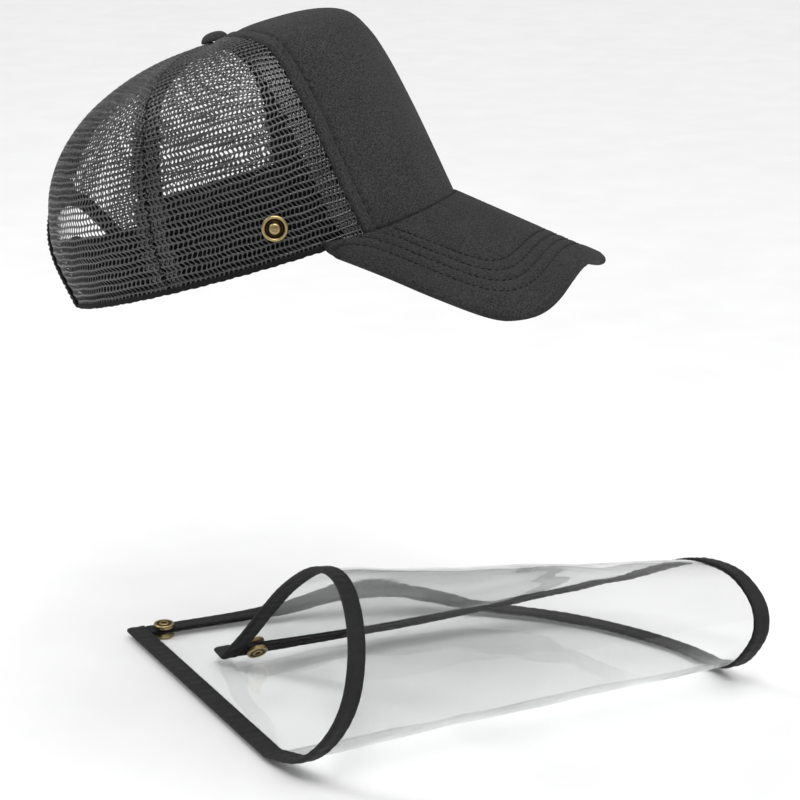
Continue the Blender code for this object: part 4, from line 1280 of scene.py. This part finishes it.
def pattern_point(u, v, inset=0.0):
    """The flat pattern: u from -1 (side A) to 1 (side B), v from 0 (straight edge) to 1 (bottom)."""
    u, v = np.broadcast_arrays(np.asarray(u, float), np.asarray(v, float))
    a = u * np.sqrt(1 - v * v / 2)
    b = v * np.sqrt(1 - u * u / 2)
    r = np.maximum(np.hypot(a, b), 1e-9)
    p = SHIELD_CORNER_POWER
    grow = np.maximum(np.abs(a / r) ** p + np.abs(b / r) ** p, 1e-9) ** (-1 / p)
    half = SHIELD_LENGTH / 2
    along = half + a * grow * (half - inset)
    down = inset + b * grow * (SHIELD_DEPTH - 2 * inset)
    return np.stack([along, down], axis=-1)


def film_ripple(along, down, u, v):
    """Slow waves of the soft film, which break up what it mirrors; none at its bound edges."""
    fade = ease((1 - np.abs(u)) / 0.14) * ease((1 - v) / 0.14) * ease(v / 0.14)
    wave = np.sin(along * 0.045 + 0.7 * np.sin(down * 0.021)) * np.sin(down * 0.033 + 1.3)
    crumple = np.sin(along * 0.11 + 1.9 * np.sin(down * 0.034)) * np.sin(down * 0.07 + along * 0.02)
    return fade * (0.8 * wave + 0.35 * crumple)


def build_film():
    u = np.linspace(-1, 1, 301)[None, :]
    v = np.linspace(0, 1, 121)[:, None]
    flat = pattern_point(u, v, FILM_INSET)
    along, down = flat[..., 0], flat[..., 1]
    ripple = film_ripple(along, down, u, v)
    outer = sheet_point(along, down, ripple + SHEET_THICK / 2)
    inner = sheet_point(along, down, ripple - SHEET_THICK / 2)
    film = shell("shield_film", outer, inner, FILM, "shield")
    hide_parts("shield_sheet")
    return film


def binding_sections(path, inward):
    """Sections of a folded ribbon over the edge of the film, along a path on the flat pattern."""
    half = [(-1.15, 0.0), (-1.0, 0.75), (-0.45, 1.3), (0.6, 1.5)]
    half += [(d, 1.55 + 0.1 * math.sin(d * 0.9)) for d in np.linspace(1.6, BINDING_WIDTH - 1.2, 9)]
    half += [(BINDING_WIDTH - 0.35, 1.5), (BINDING_WIDTH, 1.2)]
    half += [(BINDING_WIDTH, 0.75), (BINDING_WIDTH - 0.3, 0.55)]
    section = np.array(half + [(d, -off) for d, off in half[:0:-1]])
    run = run_lengths(path)
    depth = section[None, :, 0]
    rumple = 0.12 * np.sin(run * 0.55)[:, None] * np.sin(np.clip(depth, 0, 10) / 10 * math.pi)
    off = section[None, :, 1] * (1 + 0.08 * np.sin(run * 0.9)[:, None]) + rumple
    along = path[:, None, 0] + depth * inward[:, None, 0]
    down = path[:, None, 1] + depth * inward[:, None, 1]
    return sheet_point(along, down, off)


def pattern_border(v, u):
    """The rounded edge of the flat pattern, down side A, along the bottom and up side B."""
    return np.concatenate([pattern_point(-1.0, v), pattern_point(u, 1.0), pattern_point(1.0, v[::-1])])


def build_bindings():
    u = np.linspace(-1, 1, 401)
    tops = pattern_point(u, 0.0)
    tops[0, 0] -= 1.2
    tail = tops[-1] + np.stack([np.linspace(0, BINDING_TAIL, 12)[1:], np.zeros(11)], axis=1)
    tops = np.concatenate([tops, tail])
    downward = np.tile([0.0, 1.0], (len(tops), 1))
    straight = binding_sections(tops, downward)
    straight = loft("ribbon_straight_edge", straight, RIBBON, "shield")
    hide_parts("binding_straight_edge")
    edge = pattern_border(np.linspace(0, 1, 81), u[1:-1])
    edge = edge[edge[:, 1] > BINDING_WIDTH + 0.7]
    ends = np.array([[edge[0, 0], BINDING_WIDTH + 0.6], [edge[-1, 0], BINDING_WIDTH + 0.6]])
    edge = np.concatenate([ends[:1], edge, ends[1:]])
    run = unit(np.gradient(edge, axis=0))
    inward = np.stack([run[:, 1], -run[:, 0]], axis=1)
    inward[0], inward[-1] = (1.0, 0.0), (-1.0, 0.0)
    curved = binding_sections(edge, inward)
    curved = loft("ribbon_curved_edge", curved, RIBBON, "shield")
    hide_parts("binding_curved_edge")
    paths = []
    for line, way in ((tops, downward), (edge, inward)):
        along, down = (line + way * (BINDING_WIDTH - RIBBON_STITCH_IN)).T
        for sign in (1, -1):
            points = sheet_point(along, down, sign * RIBBON_FACE)
            paths.append(np.concatenate([points, sign * sheet_normal(along, down)], axis=1))
    stitches("stitching_ribbon", paths, 3.4, 0.72, 0.2, "shield")
    return straight, curved


def build_shield_snaps():
    """A socket above and a cap below the film at each end of its straight edge."""
    stand = SNAP_STAND
    socket = [(1.7, stand + 2.35)] + arc(2.35, stand + 1.9, 0.6, 150, 60, 5)
    socket += [(3.2, stand + 1.7), (4.0, stand + 1.75)] + arc(5.35, stand + 1.55, 0.85, 130, -30, 12)
    socket += [(6.1, stand + 0.6), (5.9, stand), (2.2, stand), (1.9, stand + 0.5), (1.7, stand + 2.35)]
    cap = [(0.0, stand + 0.1), (1.35, stand + 0.1), (1.4, -stand), (5.7, -stand)]
    cap += arc(5.3, -stand - 0.6, 0.6, 60, -75, 8)
    cap += [(4.3, -stand - 1.2), (2.2, -stand - 1.3), (0.0, -stand - 1.3)]
    down = SHIELD_SNAP_DOWN
    for word, along in (("a", SHIELD_SNAP_IN), ("b", SHIELD_LENGTH - SHIELD_SNAP_IN)):
        place = pointing(sheet_middle(along, down), sheet_normal(np.array(along), np.array(down)))
        turned_brass(f"shield_socket_turned_{word}", f"shield_socket_{word}", socket, 96, "shield", place)
        turned_brass(f"shield_cap_turned_{word}", f"shield_snap_cap_{word}", cap, 96, "shield", place)


# ------------------------------------------------------------------ stage, light and camera

CAMERA_TURN = math.radians(20.0)
CAMERA_DOWN = math.radians(17.0)
CAMERA_PLACE = (-0.9945, -0.4353, 0.2529)
CAMERA_LENS = 100.0
FLOOR_HEIGHT, FLOOR_REACH = -0.2745, 40.0
ROOM_LIGHT = 0.72
SUN_POWER, SUN_WIDTH, SUN_PLACE = 1.75, 50.0, (-0.5, -0.6, 1.6)
LAMPS = {
    "key": ((-1.1, -0.5, 1.5), 0.45, 9.0),
    "back": ((-0.3, 1.3, 1.1), 0.4, 8.0),
}


def build_stage():
    """The pale floor, wide enough that its edge is never seen."""
    floor_look, tree, shader = new_material("floor_pale", (0.82, 0.82, 0.82), 0.6)
    place = object_coordinates(tree)
    share = map_range(tree, noise(tree, place, 60.0), 0.3, 0.7)
    vary_colour(tree, shader, share, (0.80, 0.80, 0.80), (0.83, 0.83, 0.83))
    mesh = bpy.data.meshes.new("floor")
    corners = [(-1, -1), (1, -1), (1, 1), (-1, 1)]
    points = [(x * FLOOR_REACH, y * FLOOR_REACH, FLOOR_HEIGHT) for x, y in corners]
    mesh.from_pydata(points, [], [(0, 1, 2, 3)])
    mesh.materials.append(floor_look)
    floor = bpy.data.objects.new("floor", mesh)
    bpy.context.scene.collection.objects.link(floor)


def build_lights():
    """A pale room that is brighter above, a wide soft sun and two lamps that put gleams on the net."""
    bpy.context.scene.view_settings.view_transform = "Standard"
    world = bpy.data.worlds.new("studio")
    bpy.context.scene.world = world
    world.use_nodes = True
    tree = world.node_tree
    split = tree.nodes.new("ShaderNodeSeparateXYZ")
    tree.links.new(tree.nodes.new("ShaderNodeTexCoord").outputs["Generated"], split.inputs["Vector"])
    height = map_range(tree, split.outputs["Z"], 0.05, 0.9)
    sky = mix_colour(tree, height, (0.42, 0.42, 0.43), (1.0, 1.0, 1.0))
    tree.links.new(sky, tree.nodes["Background"].inputs["Color"])
    tree.nodes["Background"].inputs["Strength"].default_value = ROOM_LIGHT
    sun = bpy.data.lights.new("sun", "SUN")
    sun.energy = SUN_POWER
    sun.angle = math.radians(SUN_WIDTH)
    lamps = {"sun": (sun, SUN_PLACE)}
    for name, (place, size, power) in LAMPS.items():
        data = bpy.data.lights.new(name, "AREA")
        data.size = size
        data.energy = power
        lamps[name] = (data, place)
    for name, (data, place) in lamps.items():
        lamp = bpy.data.objects.new(name, data)
        lamp.location = place
        lamp.rotation_mode = "QUATERNION"
        lamp.rotation_quaternion = (-Vector(place)).to_track_quat("-Z", "Y")
        bpy.context.scene.collection.objects.link(lamp)


def build_camera():
    data = bpy.data.cameras.new("camera")
    data.lens = CAMERA_LENS
    data.sensor_width = 36.0
    data.clip_start = 0.01
    camera = bpy.data.objects.new("camera", data)
    c, s = math.cos(CAMERA_TURN), math.sin(CAMERA_TURN)
    forward = Vector((c * math.cos(CAMERA_DOWN), s * math.cos(CAMERA_DOWN), -math.sin(CAMERA_DOWN)))
    right = Vector((s, -c, 0.0))
    matrix = Matrix((right, right.cross(forward), -forward)).transposed().to_4x4()
    matrix.translation = Vector(CAMERA_PLACE)
    camera.matrix_world = matrix
    bpy.context.scene.collection.objects.link(camera)
    bpy.context.scene.camera = camera


def build_cap():
    build_front()
    build_nets()
    build_tapes()
    build_sweatband()
    build_rim_hem()
    build_button()
    build_rear_binding()
    build_straps()
    build_visor()
    build_visor_board()
    build_studs()


def build_shield():
    film = build_film()
    straight, curved = build_bindings()
    build_shield_snaps()


def build_front_stitching():
    """The stitches in the groove beside each front seam."""
    paths = [seam_path(front_seam, -STITCH_GROOVE, 0.012, 0.87, 1.0, 0.75, side) for side in (1, -1)]
    stitches("stitching_front", paths, STITCH_PITCH, 0.6, 0.3)


build_camera()
build_cap()
build_front_stitching()
build_shield()
build_stage()
build_lights()
